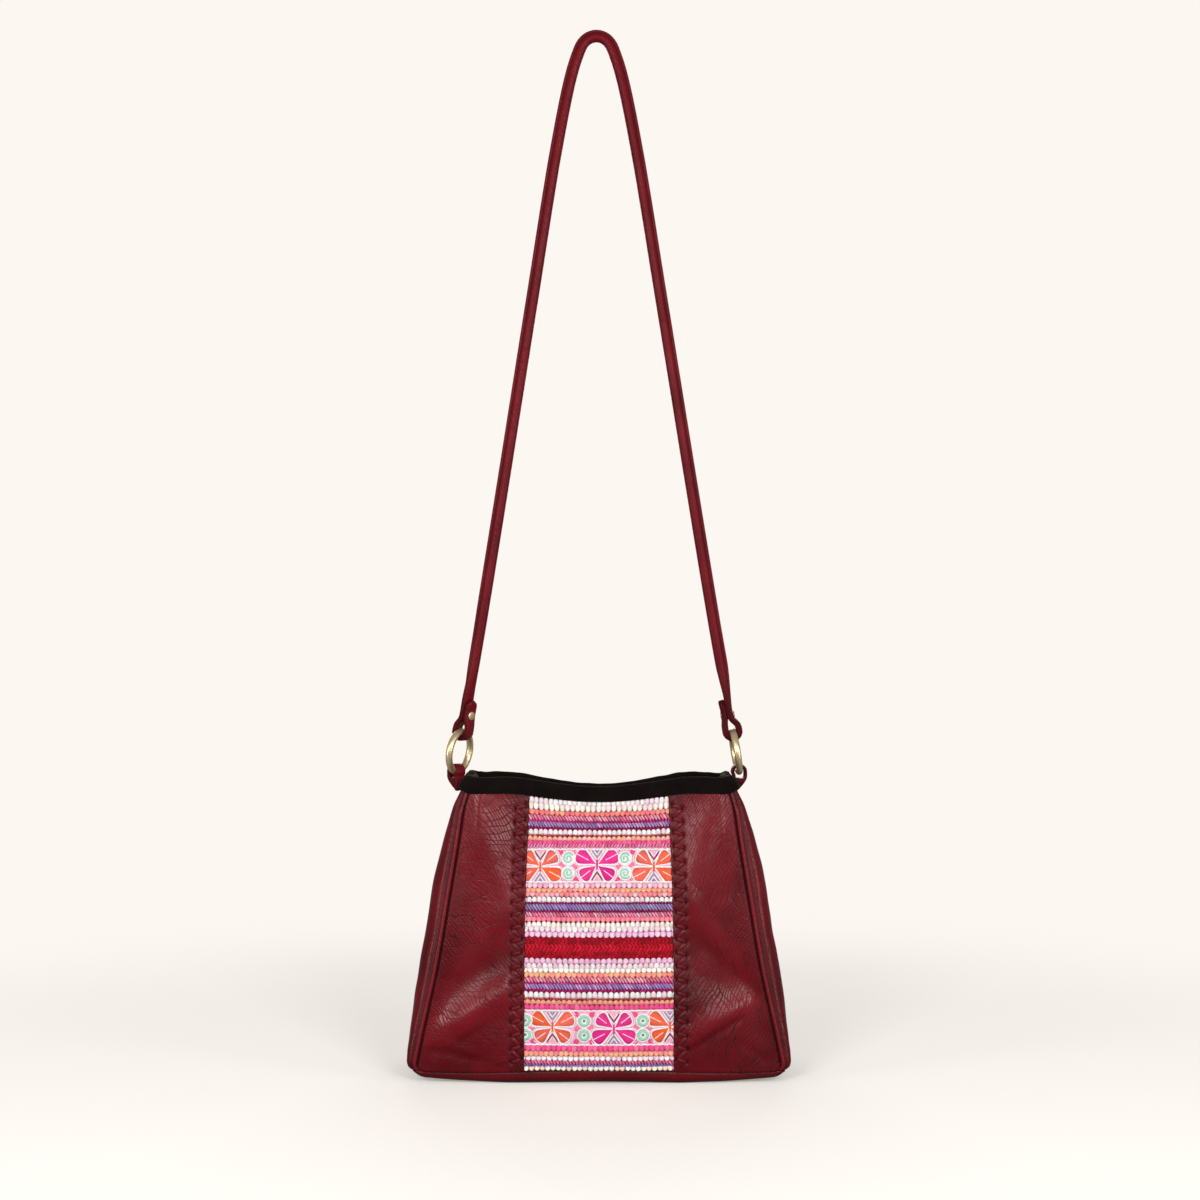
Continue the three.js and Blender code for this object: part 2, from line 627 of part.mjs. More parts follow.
const RIVET_SIDES = 16;
const CAP_ROUND = { radius: 0.6, height: 0.8, edge: 0.3 }; // shares of the cap where its dome bends
function rivet(frame) {
  const { cap, back } = rivetFaces();
  const profile = [
    new THREE.Vector2(0, cap - RIVET.capHeight),
    new THREE.Vector2(RIVET.capRadius * CAP_ROUND.radius, cap - RIVET.capHeight * CAP_ROUND.height),
    new THREE.Vector2(RIVET.capRadius, cap - RIVET.capHeight * CAP_ROUND.edge),
    new THREE.Vector2(RIVET.capRadius, cap),
    new THREE.Vector2(RIVET.shankRadius, cap),
    new THREE.Vector2(RIVET.shankRadius, back),
    new THREE.Vector2(RIVET.backRadius, back),
    new THREE.Vector2(RIVET.backRadius, back + RIVET.backHeight / 2),
    new THREE.Vector2(0, back + RIVET.backHeight),
  ];
  const geometry = onRivetAxis(new THREE.LatheGeometry(profile, RIVET_SIDES), frame);
  return fromManifold(toManifold(geometry));
}

const group = new THREE.Group();
const bag = new THREE.Group();
bag.position.set(BAG_SHIFT, 0, -HANG_HEIGHT);
group.add(bag);

function add(name, finish, geometry) {
  geometry.computeVertexNormals();
  const mesh = new THREE.Mesh(geometry, new THREE.MeshStandardMaterial(MATERIALS[finish]));
  mesh.name = name;
  bag.add(mesh);
}

const ringFrames = SIDES.map(ringFrame);
add("front_left", "leather", panel(mirroredGrid, FRONT, frontDepth));
add("front_right", "leather", panel(frontSide, FRONT, frontDepth));
add("embroidered_panel", "textile", panel(stripGrid, FRONT, frontDepth));
add("back_panel", "leather", panel(backGrid, BACK, panelDepth));
add("base_panel", "leather", basePanel());
add("rim_band", "suede", rimBand());
add("strap", "leather", strap(ringFrames));
SIDES.forEach(({ name, side }, i) => {
  add(`gusset_${name}`, "leather", gusset(side));
  add(`tab_${name}`, "leather", tab(ringFrames[i]));
  add(`ring_${name}`, "brass", ring(ringFrames[i]));
  add(`rivet_${name}`, "brass", rivet(ringFrames[i]));
});

export default group;
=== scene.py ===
import math

import bpy
import numpy as np
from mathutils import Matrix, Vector, noise


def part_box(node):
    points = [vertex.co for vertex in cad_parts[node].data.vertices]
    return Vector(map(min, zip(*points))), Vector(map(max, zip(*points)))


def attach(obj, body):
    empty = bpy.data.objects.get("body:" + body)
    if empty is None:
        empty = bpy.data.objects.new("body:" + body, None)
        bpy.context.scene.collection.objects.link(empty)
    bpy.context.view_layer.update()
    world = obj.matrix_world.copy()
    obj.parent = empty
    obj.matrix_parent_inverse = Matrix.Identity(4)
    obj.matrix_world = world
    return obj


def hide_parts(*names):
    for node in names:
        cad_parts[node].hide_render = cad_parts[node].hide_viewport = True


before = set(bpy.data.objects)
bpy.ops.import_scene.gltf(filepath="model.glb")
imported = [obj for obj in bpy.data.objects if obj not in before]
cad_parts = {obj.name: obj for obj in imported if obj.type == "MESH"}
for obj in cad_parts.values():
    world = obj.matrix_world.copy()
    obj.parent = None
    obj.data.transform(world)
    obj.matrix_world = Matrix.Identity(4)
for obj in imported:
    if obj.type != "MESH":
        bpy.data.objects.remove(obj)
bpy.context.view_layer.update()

# The bag is worked out in millimetres, x from its middle and z up from its foot.
MM = 0.001
base_low, base_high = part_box("base_panel")
BAG_ORIGIN = np.array([(base_low.x + base_high.x) / 2, 0.0, base_low.z])
HANG_HEIGHT = -base_low.z / MM  # underside of the strap's top
BAG_SHIFT = BAG_ORIGIN[0] / MM  # the bag's middle hangs this far right of the strap's top

# Sizes shared with the solids
WALL = 2.0
GAP = 0.3
SEAM_LAP = 0.7  # the panels' edges are sewn in this far behind the seam
RIM_HEIGHT = 238.0
RIM_SAG = 10.5
RIM_END_DROP = 2.4
RIM_END_FROM, RIM_END_TO = 62.0, 97.0
CORNER_RADIUS = 8.0
ROLL_HEIGHT = 7.5
ROLL_RISE = 3.5
BAND_HEIGHT = 13.0
BAND_WALL = 1.5
BAND_SLOT_GAP = 0.6
RING_RADIUS = 16.25
WIRE_RADIUS = 2.75
STRAP_LEAN = math.radians(9.2)
TAB_THICKNESS = 2.0
TAB_HALF = 1.25  # half its thickness with its dyed edges
TAB_CLOSED_FROM = 5.5  # the legs are sewn together from here down, below the middle of the wire
TAB_WIDTH = 10.0
TAB_BORE_RADIUS = 4.1
TAB_FOOT_HEIGHT = 223.5
TAB_ARC_FROM, TAB_LEG_FROM = math.radians(-8), math.radians(35)
# Its outer leg on the way up from its foot: out in radii of the loop, down in shares of the foot's drop
TAB_OUTER_LEG = ((0.28, 0.7), (0.93, 0.34))
TAB_FOOT_STRAIGHT = 4.5  # its inner leg is straight over this length
TAB_STEP = 0.7
TAB_OUTER_SHARE = 0.4  # of its length, up to the top of the loop
TAB_FILL_FADE, TAB_FILL_ROOM = 4.0, 2.6  # its closed legs fill the space between them
BAND_HEM = RIM_HEIGHT - BAND_HEIGHT
FRONT, BACK = -1, 1
SIDES = {"left": -1, "right": 1}
RING_TURN = {"left": math.radians(26), "right": math.radians(-1.5)}
# The strap's folded ends turn further than their rings, between two heights above the wire.
FLAP_TWIST = {"left": math.radians(15), "right": math.radians(9)}
FLAP_TWIST_FROM, FLAP_TWIST_TO = 3.0, 12.0
# Each tab's outer and inner leg are turned from their ring too. The twist lies between shares of its length.
TAB_TWIST = {"left": (math.radians(-4), math.radians(24)), "right": (0.0, 0.0)}
TAB_TWIST_FROM, TAB_TWIST_TO = 0.3, 0.62
UP = np.array([0.0, 0.0, 1.0])

# Half sizes of the body by height: the seam from the middle and from the mid-plane, the middle of the
# front from the mid-plane, half the textile strip, the gusset's swell past the seam and its dip.
BODY_COLUMNS = ("height", "seam_x", "seam_y", "panel_y", "strip_x", "swell", "dip")
BODY = np.array([
    (7, 143.1, 49, 52, 58, 7.5, 0),
    (40, 136.3, 48, 56, 58, 11.5, 0),
    (90, 125.6, 44, 51, 58, 15.5, 0),
    (140, 117.4, 38.5, 40, 57.5, 15.5, 0),
    (190, 109.4, 32.5, 24, 56, 12, 0),
    (210, 106.5, 30.2, 17, 55.2, 9.2, 1.0),
    (222, 103.2, 28.9, 12.8, 54.8, 7.4, 6),
    (240, 96.6, 27, 8.5, 54.5, 5, 4.6),
])

# Soft folds of the leather sides: a line from (x0, z0) to (x1, z1), half its width, and its height,
# which is negative for a crease.
FOLDS = np.array([
    (-103, 220, -76, 138, 17, 3.2),
    (100, 220, 76, 150, 16, 2.6),
    (-66, 76, -119, 43, 11, 2.6),
    (-72, 128, -104, 96, 9, 0.7),
    (-92, 168, -70, 120, 5, -0.6),
    (-128, 26, -92, 18, 4, -0.7),
    (-124, 33, -100, 25, 4, 0.5),
    (-80, 52, -112, 30, 5, -0.6),
    (64, 23, 108, 49, 3.5, -1.2),
    (66, 34, 112, 60, 9, 1.8),
    (101, 192, 94, 140, 7, 1.1),
    (88, 196, 78, 150, 6, -0.7),
    (72, 140, 102, 96, 8, 0.8),
    (84, 104, 118, 74, 6, -0.7),
    (112, 30, 130, 18, 4, -0.6),
])
HOLLOW = {"x": 98, "z": 84, "long": 48, "short": 20, "lean": math.radians(-55), "depth": 3.5}
FOLD_TAPER = 1.6  # a fold ends over this many of its half widths
FOLD_FADE = 14.0  # folds die away over this distance from the seams and the textile

rng = np.random.default_rng(11)


def lerp(a, b, t):
    return a + (b - a) * t


def smoothstep(x, low, high):
    t = np.clip((x - low) / (high - low), 0, 1)
    return t * t * (3 - 2 * t)


def cos_squared(share):
    return np.cos(np.pi / 2 * np.clip(share, -1, 1)) ** 2


def near(distance, reach):
    """1 at no distance, falling away softly over a reach."""
    return np.exp(-(distance / reach) ** 2)


def full_turn(steps):
    """Angles once round in even steps."""
    return np.linspace(0, 2 * np.pi, steps + 1)[:-1]


def column(name):
    """A smooth function through one column of BODY, which never overshoots its rows."""
    at = BODY[:, 0]
    value = BODY[:, BODY_COLUMNS.index(name)]
    slope = np.diff(value) / np.diff(at)
    before = np.concatenate([slope[:1], slope])
    after = np.concatenate([slope, slope[-1:]])
    alike = before * after > 0
    tangent = np.where(alike, 2 * before * after / np.where(alike, before + after, 1), 0)

    def read(place):
        x = np.clip(place, at[0], at[-1])
        i = np.clip(np.searchsorted(at, x) - 1, 0, len(slope) - 1)
        span = at[i + 1] - at[i]
        t = (x - at[i]) / span
        lead = t * (1 - t) ** 2 * tangent[i] * span
        trail = t * t * (1 - t) * tangent[i + 1] * span
        return value[i] + (value[i + 1] - value[i]) * t * t * (3 - 2 * t) + lead - trail

    return read


seam_x, seam_y, panel_y, strip_x, swell, dip = (column(name) for name in BODY_COLUMNS[1:])


# The seam's outline: along the base, round the corner and up the side
def side_lean(z):
    return np.arctan2(seam_x(z - 1) - seam_x(z + 1), 2)


CORNER_LEAN = float(side_lean(2 * CORNER_RADIUS))
CORNER_TOP = ROLL_HEIGHT + CORNER_RADIUS * (1 + math.sin(CORNER_LEAN))
CORNER_X = float(seam_x(CORNER_TOP)) - CORNER_RADIUS * math.cos(CORNER_LEAN)
CORNER_Z = ROLL_HEIGHT + CORNER_RADIUS
SEAM_X_AT_RIM = float(seam_x(RIM_HEIGHT))


def roll_height(x):
    return ROLL_HEIGHT + ROLL_RISE * cos_squared(x / CORNER_X)


def leather_top(x):
    sag = RIM_SAG * cos_squared(x / SEAM_X_AT_RIM)
    end_drop = RIM_END_DROP * smoothstep(np.abs(x), RIM_END_FROM, RIM_END_TO)
    return RIM_HEIGHT - (sag + end_drop) - BAND_WALL - BAND_SLOT_GAP


def panel_depth(x, z):
    return lerp(seam_y(z), panel_y(z), cos_squared(x / seam_x(z)))


def fold_height(x, z):
    """How far the folds and creases of the leather sides stand out."""
    total = np.zeros(np.broadcast(x, z).shape)
    for x0, z0, x1, z1, width, height in FOLDS:
        dx, dz = x1 - x0, z1 - z0
        length = math.hypot(dx, dz)
        along = ((x - x0) * dx + (z - z0) * dz) / length
        aside = ((x - x0) * dz - (z - z0) * dx) / length
        beyond = np.maximum(np.abs(along - length / 2) - length / 2, 0)
        total += height * np.exp(-(aside / width) ** 2 - (beyond / (FOLD_TAPER * width)) ** 2)
    return total


def front_depth(x, z):
    across = np.abs(x) - HOLLOW["x"]
    up = z - HOLLOW["z"]
    sine, cosine = math.sin(HOLLOW["lean"]), math.cos(HOLLOW["lean"])
    along = across * sine + up * cosine
    aside = across * cosine - up * sine
    hollow = HOLLOW["depth"] * np.exp(-(along / HOLLOW["long"]) ** 2 - (aside / HOLLOW["short"]) ** 2)
    from_side = smoothstep(seam_x(z) - np.abs(x), 0, FOLD_FADE)
    from_base = smoothstep(z - roll_height(x), 0, FOLD_FADE)
    from_strip = smoothstep(np.abs(x) - strip_x(z), 0, FOLD_FADE)
    return panel_depth(x, z) + (fold_height(x, z) * from_strip - hollow) * from_side * from_base


SLOPE_STEP = 0.5


def on_panel(x, z, lift, depth=front_depth, facing=FRONT):
    """Points of the front or back, raised from the skin by a height."""
    slope_x = (depth(x + SLOPE_STEP, z) - depth(x - SLOPE_STEP, z)) / (2 * SLOPE_STEP)
    slope_z = (depth(x, z + SLOPE_STEP) - depth(x, z - SLOPE_STEP)) / (2 * SLOPE_STEP)
    normal = np.stack([-slope_x, np.full_like(slope_x, facing), -slope_z], axis=-1)
    normal /= np.linalg.norm(normal, axis=-1, keepdims=True)
    skin = np.stack([x, facing * depth(x, z), z], axis=-1)
    return skin + np.asarray(lift)[..., None] * normal


def ripple(points, size, seed):
    """Smooth noise from -1 to 1 over an array of points, with waves of about the given size."""
    flat = points.reshape(-1, 3) / size + seed
    return np.array([noise.noise(Vector(p)) for p in flat]).reshape(points.shape[:-1])


# Soft waves of the leather, the binding and the stitched ground: their height, size and seed
WAVES = {
    "front": ((0.4, 21.0, 3.1), (0.09, 7.0, 7.7)),
    "back": ((0.9, 46.0, 5.3), (0.3, 15.0, 1.9)),
    "gusset": ((1.3, 60.0, 2.3), (0.4, 17.0, 4.7)),
    "base": ((0.35, 30.0, 9.1),),
    "binding": ((0.45, 13.0, 2.2), (0.5, 34.0, 6.4)),
    "binding_top": ((1.0, 11.0, 8.8),),
    "ground": ((0.12, 5.0, 3.3),),
}


def waves(points, kind, side=1):
    return sum(height * ripple(points, size, side * seed) for height, size, seed in WAVES[kind])


def unit(vectors):
    return vectors / np.linalg.norm(vectors, axis=-1, keepdims=True)


def square_to(vectors, axis):
    """Unit vectors near the given ones, at a right angle to an axis."""
    return unit(vectors - np.sum(vectors * axis, axis=-1, keepdims=True) * axis)


def level_direction(turn):
    """The level direction turned from straight back towards the right."""
    return np.stack([np.sin(turn), np.cos(turn), np.zeros_like(turn)], axis=-1)


def aside_of(along):
    """The directions on the cloth to the right of the given ones."""
    return np.stack([along[..., 1], -along[..., 0]], axis=-1)


# Meshes
def grid_faces(rows, columns, start=0, closed=False):
    """Quads of a grid of points, stored row by row. A closed grid joins its last column to its first."""
    i = np.arange(rows - 1)[:, None] * columns + start
    j = np.arange(columns if closed else columns - 1)[None, :]
    right = (j + 1) % columns
    return np.stack([i + j, i + right, i + columns + right, i + columns + j], axis=-1).reshape(-1, 4)


def wall_mesh(outer, inner):
    """A closed wall between two grids of points. Gives points, quads and which quads lie inside."""
    rows, columns = outer.shape[:2]
    count = rows * columns
    index = np.arange(count).reshape(rows, columns)
    rim = np.concatenate([index[0, :-1], index[:-1, -1], index[-1, :0:-1], index[:0:-1, 0]])
    ahead = np.roll(rim, -1)
    skin = grid_faces(rows, columns)
    lining = grid_faces(rows, columns, count)[:, ::-1]
    edge = np.stack([rim, rim + count, ahead + count, ahead], axis=-1)
    faces = np.concatenate([skin, lining, edge])
    inside = np.zeros(len(faces), dtype=int)
    inside[len(skin):len(skin) + len(lining)] = 1
    return np.concatenate([outer.reshape(-1, 3), inner.reshape(-1, 3)]), faces, inside


def loft_mesh(rings, closed):
    """A closed body from rings of points, joined end to start or capped at both ends."""
    count, sides = rings.shape[:2]
    points = rings.reshape(-1, 3)
    faces = grid_faces(count, sides, closed=True)
    if closed:
        j = np.arange(sides)
        last = (count - 1) * sides
        turn = (j + 1) % sides
        faces = np.concatenate([faces, np.stack([last + j, last + turn, turn, j], axis=-1)])
        return points, turned_out(points, faces.tolist())
    caps = [list(range(sides))[::-1], [(count - 1) * sides + k for k in range(sides)]]
    return points, turned_out(points, faces.tolist() + caps)


def turned_out(points, faces):
    """The faces, turned so that they face out of the closed body."""
    volume = 0.0
    for face in faces:
        a = points[face[0]]
        for k in range(1, len(face) - 1):
            volume += np.dot(a, np.cross(points[face[k]], points[face[k + 1]]))
    return faces if volume > 0 else [list(face)[::-1] for face in faces]


# The base's ends curl up a little from the surface, which draws the roll thinner there
END_RISE = 4.6
END_FROM, END_SPAN = 60.0, 80.0
END_LIMIT = 1.1  # of that span
END_CURVE = 1.6
END_FADE = 13.0


def curled(points):
    outward = np.clip((np.abs(points[:, 0]) - END_FROM) / END_SPAN, 0, END_LIMIT)
    rise = END_RISE * outward ** END_CURVE * (1 - smoothstep(points[:, 2], 0, END_FADE))
    return points + rise[:, None] * UP


def add_piece(name, points, faces, materials, replaces=(), indices=None, colours=None, layer="lighten_darken"):
    """One named mesh that rides with the bag. Its points are in the bag's millimetres."""
    mesh = bpy.data.meshes.new(name)
    placed = curled(np.asarray(points)) * MM + BAG_ORIGIN
    mesh.from_pydata(placed.tolist(), [], [list(map(int, face)) for face in faces])
    for material in materials:
        mesh.materials.append(material)
    mesh.polygons.foreach_set("use_smooth", np.ones(len(mesh.polygons), dtype=bool))
    if indices is not None:
        mesh.polygons.foreach_set("material_index", np.asarray(indices, dtype=np.int32))
    if colours is not None:
        attribute = mesh.color_attributes.new(layer, "FLOAT_COLOR", "POINT")
        rgba = np.concatenate([colours, np.ones((len(colours), 1))], axis=1)
        attribute.data.foreach_set("color", rgba.astype(np.float32).ravel())
    mesh.update()
    piece = bpy.data.objects.new(name, mesh)
    bpy.context.scene.collection.objects.link(piece)
    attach(piece, "root")
    if replaces:
        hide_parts(*replaces)
    return piece


class Bundle:
    """Gathers many small closed bodies into one mesh, each with its own colours."""

    def __init__(self):
        self.points, self.faces, self.colours = [], [], []
        self.count = 0

    def add(self, points, faces, colour):
        self.faces += [[v + self.count for v in face] for face in faces]
        self.points.append(points)
        self.colours.append(np.broadcast_to(colour, (len(points), 3)))
        self.count += len(points)

    def piece(self, name, material, slot, layer):
        return add_piece(name, np.concatenate(self.points), self.faces, [material],
                         colours=np.concatenate(self.colours), layer=layer)


def wall_piece(name, node, outer, inner, skin, reverse, lighten_darken=None):
    """A leather wall between two grids of points, its flesh side inwards."""
    points, faces, inside = wall_mesh(outer, inner)
    if reverse:
        faces = faces[:, ::-1]
    return add_piece(name, points, faces, [skin, FLESH], [node], inside, lighten_darken)


def loft_piece(name, node, rings, closed, material, lighten_darken=None):
    points, faces = loft_mesh(rings, closed)
    return add_piece(name, points, faces, [material], [node], colours=lighten_darken)


# Materials
def put(tree, kind, inputs=None, **settings):
    """A shader node with its settings, and its inputs given as values or as other nodes' outputs."""
    made = tree.nodes.new("ShaderNode" + kind)
    for name, value in settings.items():
        setattr(made, name, value)
    for name, value in (inputs or {}).items():
        if isinstance(value, bpy.types.NodeSocket):
            tree.links.new(value, made.inputs[name])
        else:
            made.inputs[name].default_value = value
    return made


def ramp(tree, factor, stops):
    made = put(tree, "ValToRGB", {"Fac": factor})
    while len(made.color_ramp.elements) < len(stops):
        made.color_ramp.elements.new(0.5)
    for element, (place, colour) in zip(made.color_ramp.elements, stops):
        element.position = place
        element.color = (*colour, 1)
    return made.outputs["Color"]


def math_node(tree, operation, first, second):
    return put(tree, "Math", {0: first, 1: second}, operation=operation).outputs[0]


def remapped(tree, value, start, end, low=0.0, high=1.0, **settings):
    """A value carried from one range to another."""
    limits = {"From Min": start, "From Max": end, "To Min": low, "To Max": high}
    return put(tree, "MapRange", {"Value": value, **limits}, **settings).outputs[0]


def mixed_colour(tree, share, first, second):
    return put(tree, "Mix", {0: share, 6: first, 7: second}, data_type="RGBA").outputs[2]


def scaled_colour(colour, scale):
    return (*(scale * np.array(colour)), 1)


def noise_at(tree, place, scale, detail=3.0, roughness=0.55, distortion=0.0):
    return put(tree, "TexNoise", {"Vector": place, "Scale": scale, "Detail": detail, "Roughness": roughness,
                                  "Distortion": distortion}).outputs["Fac"]


def bumped(tree, height, strength, distance, under=None, **settings):
    """The normal of a bump, which lies on top of another bump if one is given."""
    inputs = {"Height": height, "Strength": strength, "Distance": distance}
    if under is not None:
        inputs["Normal"] = under
    return put(tree, "Bump", inputs, **settings).outputs[0]


def layer_colour(tree, layer):
    return put(tree, "Attribute", attribute_name=layer).outputs["Color"]


def start_material(name, **values):
    material = bpy.data.materials.new(name)
    material.use_nodes = True
    tree = material.node_tree
    shader = tree.nodes["Principled BSDF"]
    for socket, value in values.items():
        shader.inputs[socket.replace("_", " ")].default_value = value
    place = put(tree, "TexCoord").outputs["Object"]
    return material, tree, shader, place


def feed(tree, shader, **sockets):
    for name, output in sockets.items():
        tree.links.new(output, shader.inputs[name.replace("_", " ")])


def wrinkle_lines(tree, place, lean, pitch, bend, width):
    """Hairline wrinkles side by side, bent into soft arcs: 0 in a wrinkle, 1 on the smooth skin."""
    turned = put(tree, "Mapping", {"Vector": place, "Rotation": (0.0, lean, 0.0)}).outputs[0]
    across = put(tree, "SeparateXYZ", {"Vector": turned}).outputs["X"]
    drawn = put(tree, "Mapping", {"Vector": turned, "Scale": (1.0, 1.0, 0.5)}).outputs[0]
    arcs = noise_at(tree, drawn, 34.0, roughness=0.45, distortion=0.3)
    bent = math_node(tree, "MULTIPLY", arcs, bend)
    phase = math_node(tree, "ADD", math_node(tree, "DIVIDE", across, pitch), bent)
    folded = math_node(tree, "PINGPONG", phase, 0.5)
    return remapped(tree, folded, 0.0, width, interpolation_type="SMOOTHSTEP")


# The wrinkles lie in two sets: how far each is turned, its pitch in metres, its bend and its lines' width.
WIDE_WRINKLES = (0.9, 0.0062, 9.0, 0.1)
CLOSE_WRINKLES = (0.0, 0.0026, 10.0, 0.22)
# The darkest tone of the colour layer, for painted shade and dyed edges.
DARKENED_TONE = (0.008, 0.0008, 0.001, 1)


def leather(name, dyes, grain=900.0, rough=(0.2, 0.31), creased=1.0, lean=0.64, shine=0.15):
    """Dyed, waxed leather: clouded colour, pebble grain, and fine wrinkles that come and go.

    Its colour layer holds where the colour is lightened (red: mostly painted highlight, with some wear) and
    darkened (green: mostly painted shade, with some dyed edges).
    """
    dark, middle, light = dyes
    material, tree, shader, place = start_material(name, Specular_IOR_Level=shine)
    clouded = ramp(tree, noise_at(tree, place, 24.0, 4.0), [(0.3, dark), (0.5, middle), (0.72, light)])
    shown = remapped(tree, noise_at(tree, place, 26.0, 2.0), 0.35, 0.6, 0.35 * creased, creased)
    wide, close = (wrinkle_lines(tree, place, lean + turn, *lines)
                   for turn, *lines in (WIDE_WRINKLES, CLOSE_WRINKLES))
    skin = math_node(tree, "MULTIPLY", wide, close)
    crease = math_node(tree, "MULTIPLY", remapped(tree, skin, 0.0, 1.0, 0.9, 0.0), shown)
    tone_channels = put(tree, "SeparateColor", {"Color": layer_colour(tree, "lighten_darken")}).outputs
    # Painted shade: the colour is darkened in the wrinkles.
    crease_shaded = mixed_colour(tree, crease, clouded, scaled_colour(dark, 0.25))
    # Painted highlight and painted shade from the colour layer, with some wear and dyed edges.
    lightened = mixed_colour(tree, tone_channels["Red"], crease_shaded, scaled_colour(light, 1.7))
    darkened_colour = mixed_colour(tree, tone_channels["Green"], lightened, DARKENED_TONE)
    gloss = remapped(tree, noise_at(tree, place, 60.0, 2.0), 0.3, 0.7, *rough)
    dull = remapped(tree, math_node(tree, "MAXIMUM", tone_channels["Green"], crease), 0.0, 1.0, 0.0, 0.45)
    pebbles = put(tree, "TexVoronoi", {"Vector": place, "Scale": grain}, feature="SMOOTH_F1")
    pebbled = bumped(tree, pebbles.outputs["Distance"], 0.15, 0.0004, invert=True)
    furrowed = bumped(tree, math_node(tree, "MULTIPLY", skin, shown), 0.45, 0.0003, pebbled)
    feed(tree, shader, Base_Color=darkened_colour, Roughness=math_node(tree, "ADD", gloss, dull), Normal=furrowed)
    return material


def suede():
    """Black suede with a short nap, a little lighter where the nap is brushed."""
    material, tree, shader, place = start_material(
        "suede_black", Roughness=0.95, Specular_IOR_Level=0.06, Sheen_Weight=0.08, Sheen_Roughness=0.5,
        Sheen_Tint=(0.5, 0.42, 0.38, 1))
    nap = noise_at(tree, place, 55.0, 5.0, 0.65)
    colour = ramp(tree, nap, [(0.3, (0.0022, 0.0014, 0.0012)), (0.7, (0.006, 0.0033, 0.0028))])
    fibres = noise_at(tree, place, 2200.0, 3.0, 0.7)
    feed(tree, shader, Base_Color=colour, Normal=bumped(tree, fibres, 0.5, 0.0005))
    return material


def flesh_side():
    """The unfinished inner side of the leather."""
    material, tree, shader, place = start_material("leather_inside", Roughness=0.9, Specular_IOR_Level=0.2,
                                                   Sheen_Weight=0.2)
    patches = noise_at(tree, place, 60.0, 5.0)
    colour = ramp(tree, patches, [(0.3, (0.05, 0.014, 0.012)), (0.7, (0.1, 0.03, 0.025))])
    fibres = noise_at(tree, place, 1500.0)
    feed(tree, shader, Base_Color=colour, Normal=bumped(tree, fibres, 0.4, 0.0004))
    return material


def brass():
    """Satin brass, handled until it is even, a little darker where it is rubbed less."""
    material, tree, shader, place = start_material("brass_pale", Metallic=0.82)
    patina = noise_at(tree, place, 60.0, 2.0)
    colour = ramp(tree, patina, [(0.3, (0.62, 0.46, 0.25)), (0.55, (0.74, 0.57, 0.33)),
                                 (0.8, (0.8, 0.65, 0.4))])
    gloss = remapped(tree, noise_at(tree, place, 300.0), 0.0, 1.0, 0.32, 0.4)
    marks = bumped(tree, noise_at(tree, place, 900.0), 0.04, 0.0001)
    feed(tree, shader, Base_Color=colour, Roughness=gloss, Normal=marks)
    return material


def thread():
    """Stitched cotton, coloured by its own thread colour, with a fine weave."""
    material, tree, shader, place = start_material("thread", Roughness=0.8, Specular_IOR_Level=0.12,
                                                   Sheen_Weight=0.06, Sheen_Roughness=0.4)
    shade = remapped(tree, noise_at(tree, place, 900.0), 0.3, 0.7, 0.78, 1.12)
    dyed = put(tree, "VectorMath", {0: layer_colour(tree, "thread"), 1: shade}, operation="MULTIPLY")
    slanted = put(tree, "Mapping", {"Vector": place, "Rotation": (0, 0.5, 0)}).outputs[0]
    twist = put(tree, "TexWave", {"Vector": slanted, "Scale": 420.0, "Distortion": 2.5, "Detail": 1.0})
    feed(tree, shader, Base_Color=dyed.outputs[0], Normal=bumped(tree, twist.outputs["Fac"], 0.55, 0.0003))
    return material


WINE = ((0.072, 0.0014, 0.0034), (0.109, 0.0032, 0.0068), (0.145, 0.0058, 0.0102))
# The base's leather is a darker copy of the sides': painted shade on the base, which faces down and away from
# the lights.
SHADED_BASE_WINE = ((0.05, 0.0012, 0.0024), (0.08, 0.0024, 0.0048), (0.105, 0.004, 0.007))
LEATHER = leather("leather_wine", WINE)
LEATHER_RIGHT = leather("leather_wine_right", WINE, lean=-0.5)
GUSSET_LEATHER = leather("leather_gusset", WINE, creased=0.55)
BASE_LEATHER = leather("leather_base", SHADED_BASE_WINE)
STRAP_LEATHER = leather("leather_strap", WINE, grain=1100.0, rough=(0.3, 0.42), creased=0.4, shine=0.09)
LACE_LEATHER = leather("leather_lace", WINE, grain=1300.0, creased=0.3)
FLESH = flesh_side()
SUEDE = suede()
BRASS = brass()
THREAD = thread()


# Leather sides of the front
LACE_OUTER = 10.0  # lacing holes from the edge of the textile
LACE_INNER = 2.6
LACE_PITCH = 10.2
LACE_RISE = 2.8  # an inner hole lies this much higher than its outer one
LACE_FROM = 17.0
LACE_COUNT = 20
LACE_HALF = (1.5, 0.55)  # half its width and thickness
EDGE_LIFT = 0.7  # the laced edge lies over the textile
EDGE_LIFT_FROM, EDGE_LIFT_TO = 4.0, 13.0
EDGE_CLEAR = 0.1
EDGE_ROUND = 0.9  # way over which it is rounded, and how far down
EDGE_ROUND_DROP = 0.55
EDGE_WAVE = 0.45  # it waves with the pull of the lace
EDGE_WAVE_REACH = 7.0
EDGE_THICKNESS = 0.95  # it is skived thin where it lies on the cloth
SEAM_GROOVE = 1.2
SEAM_REACH = 1.4
BASE_SEAM = 0.5  # the seam along the base is this much finer
HOLE_DENT = 1.3  # the leather is drawn in where the lace goes through
HOLE_REACH = 1.7
# Columns of a leather side, closest along the lacing and beside the seam
SIDE_COLUMNS = np.concatenate([np.linspace(0, 0.16, 16, endpoint=False), np.linspace(0.16, 0.94, 52),
                               np.linspace(0.94, 1, 9)[1:]])
SIDE_ROWS = 190
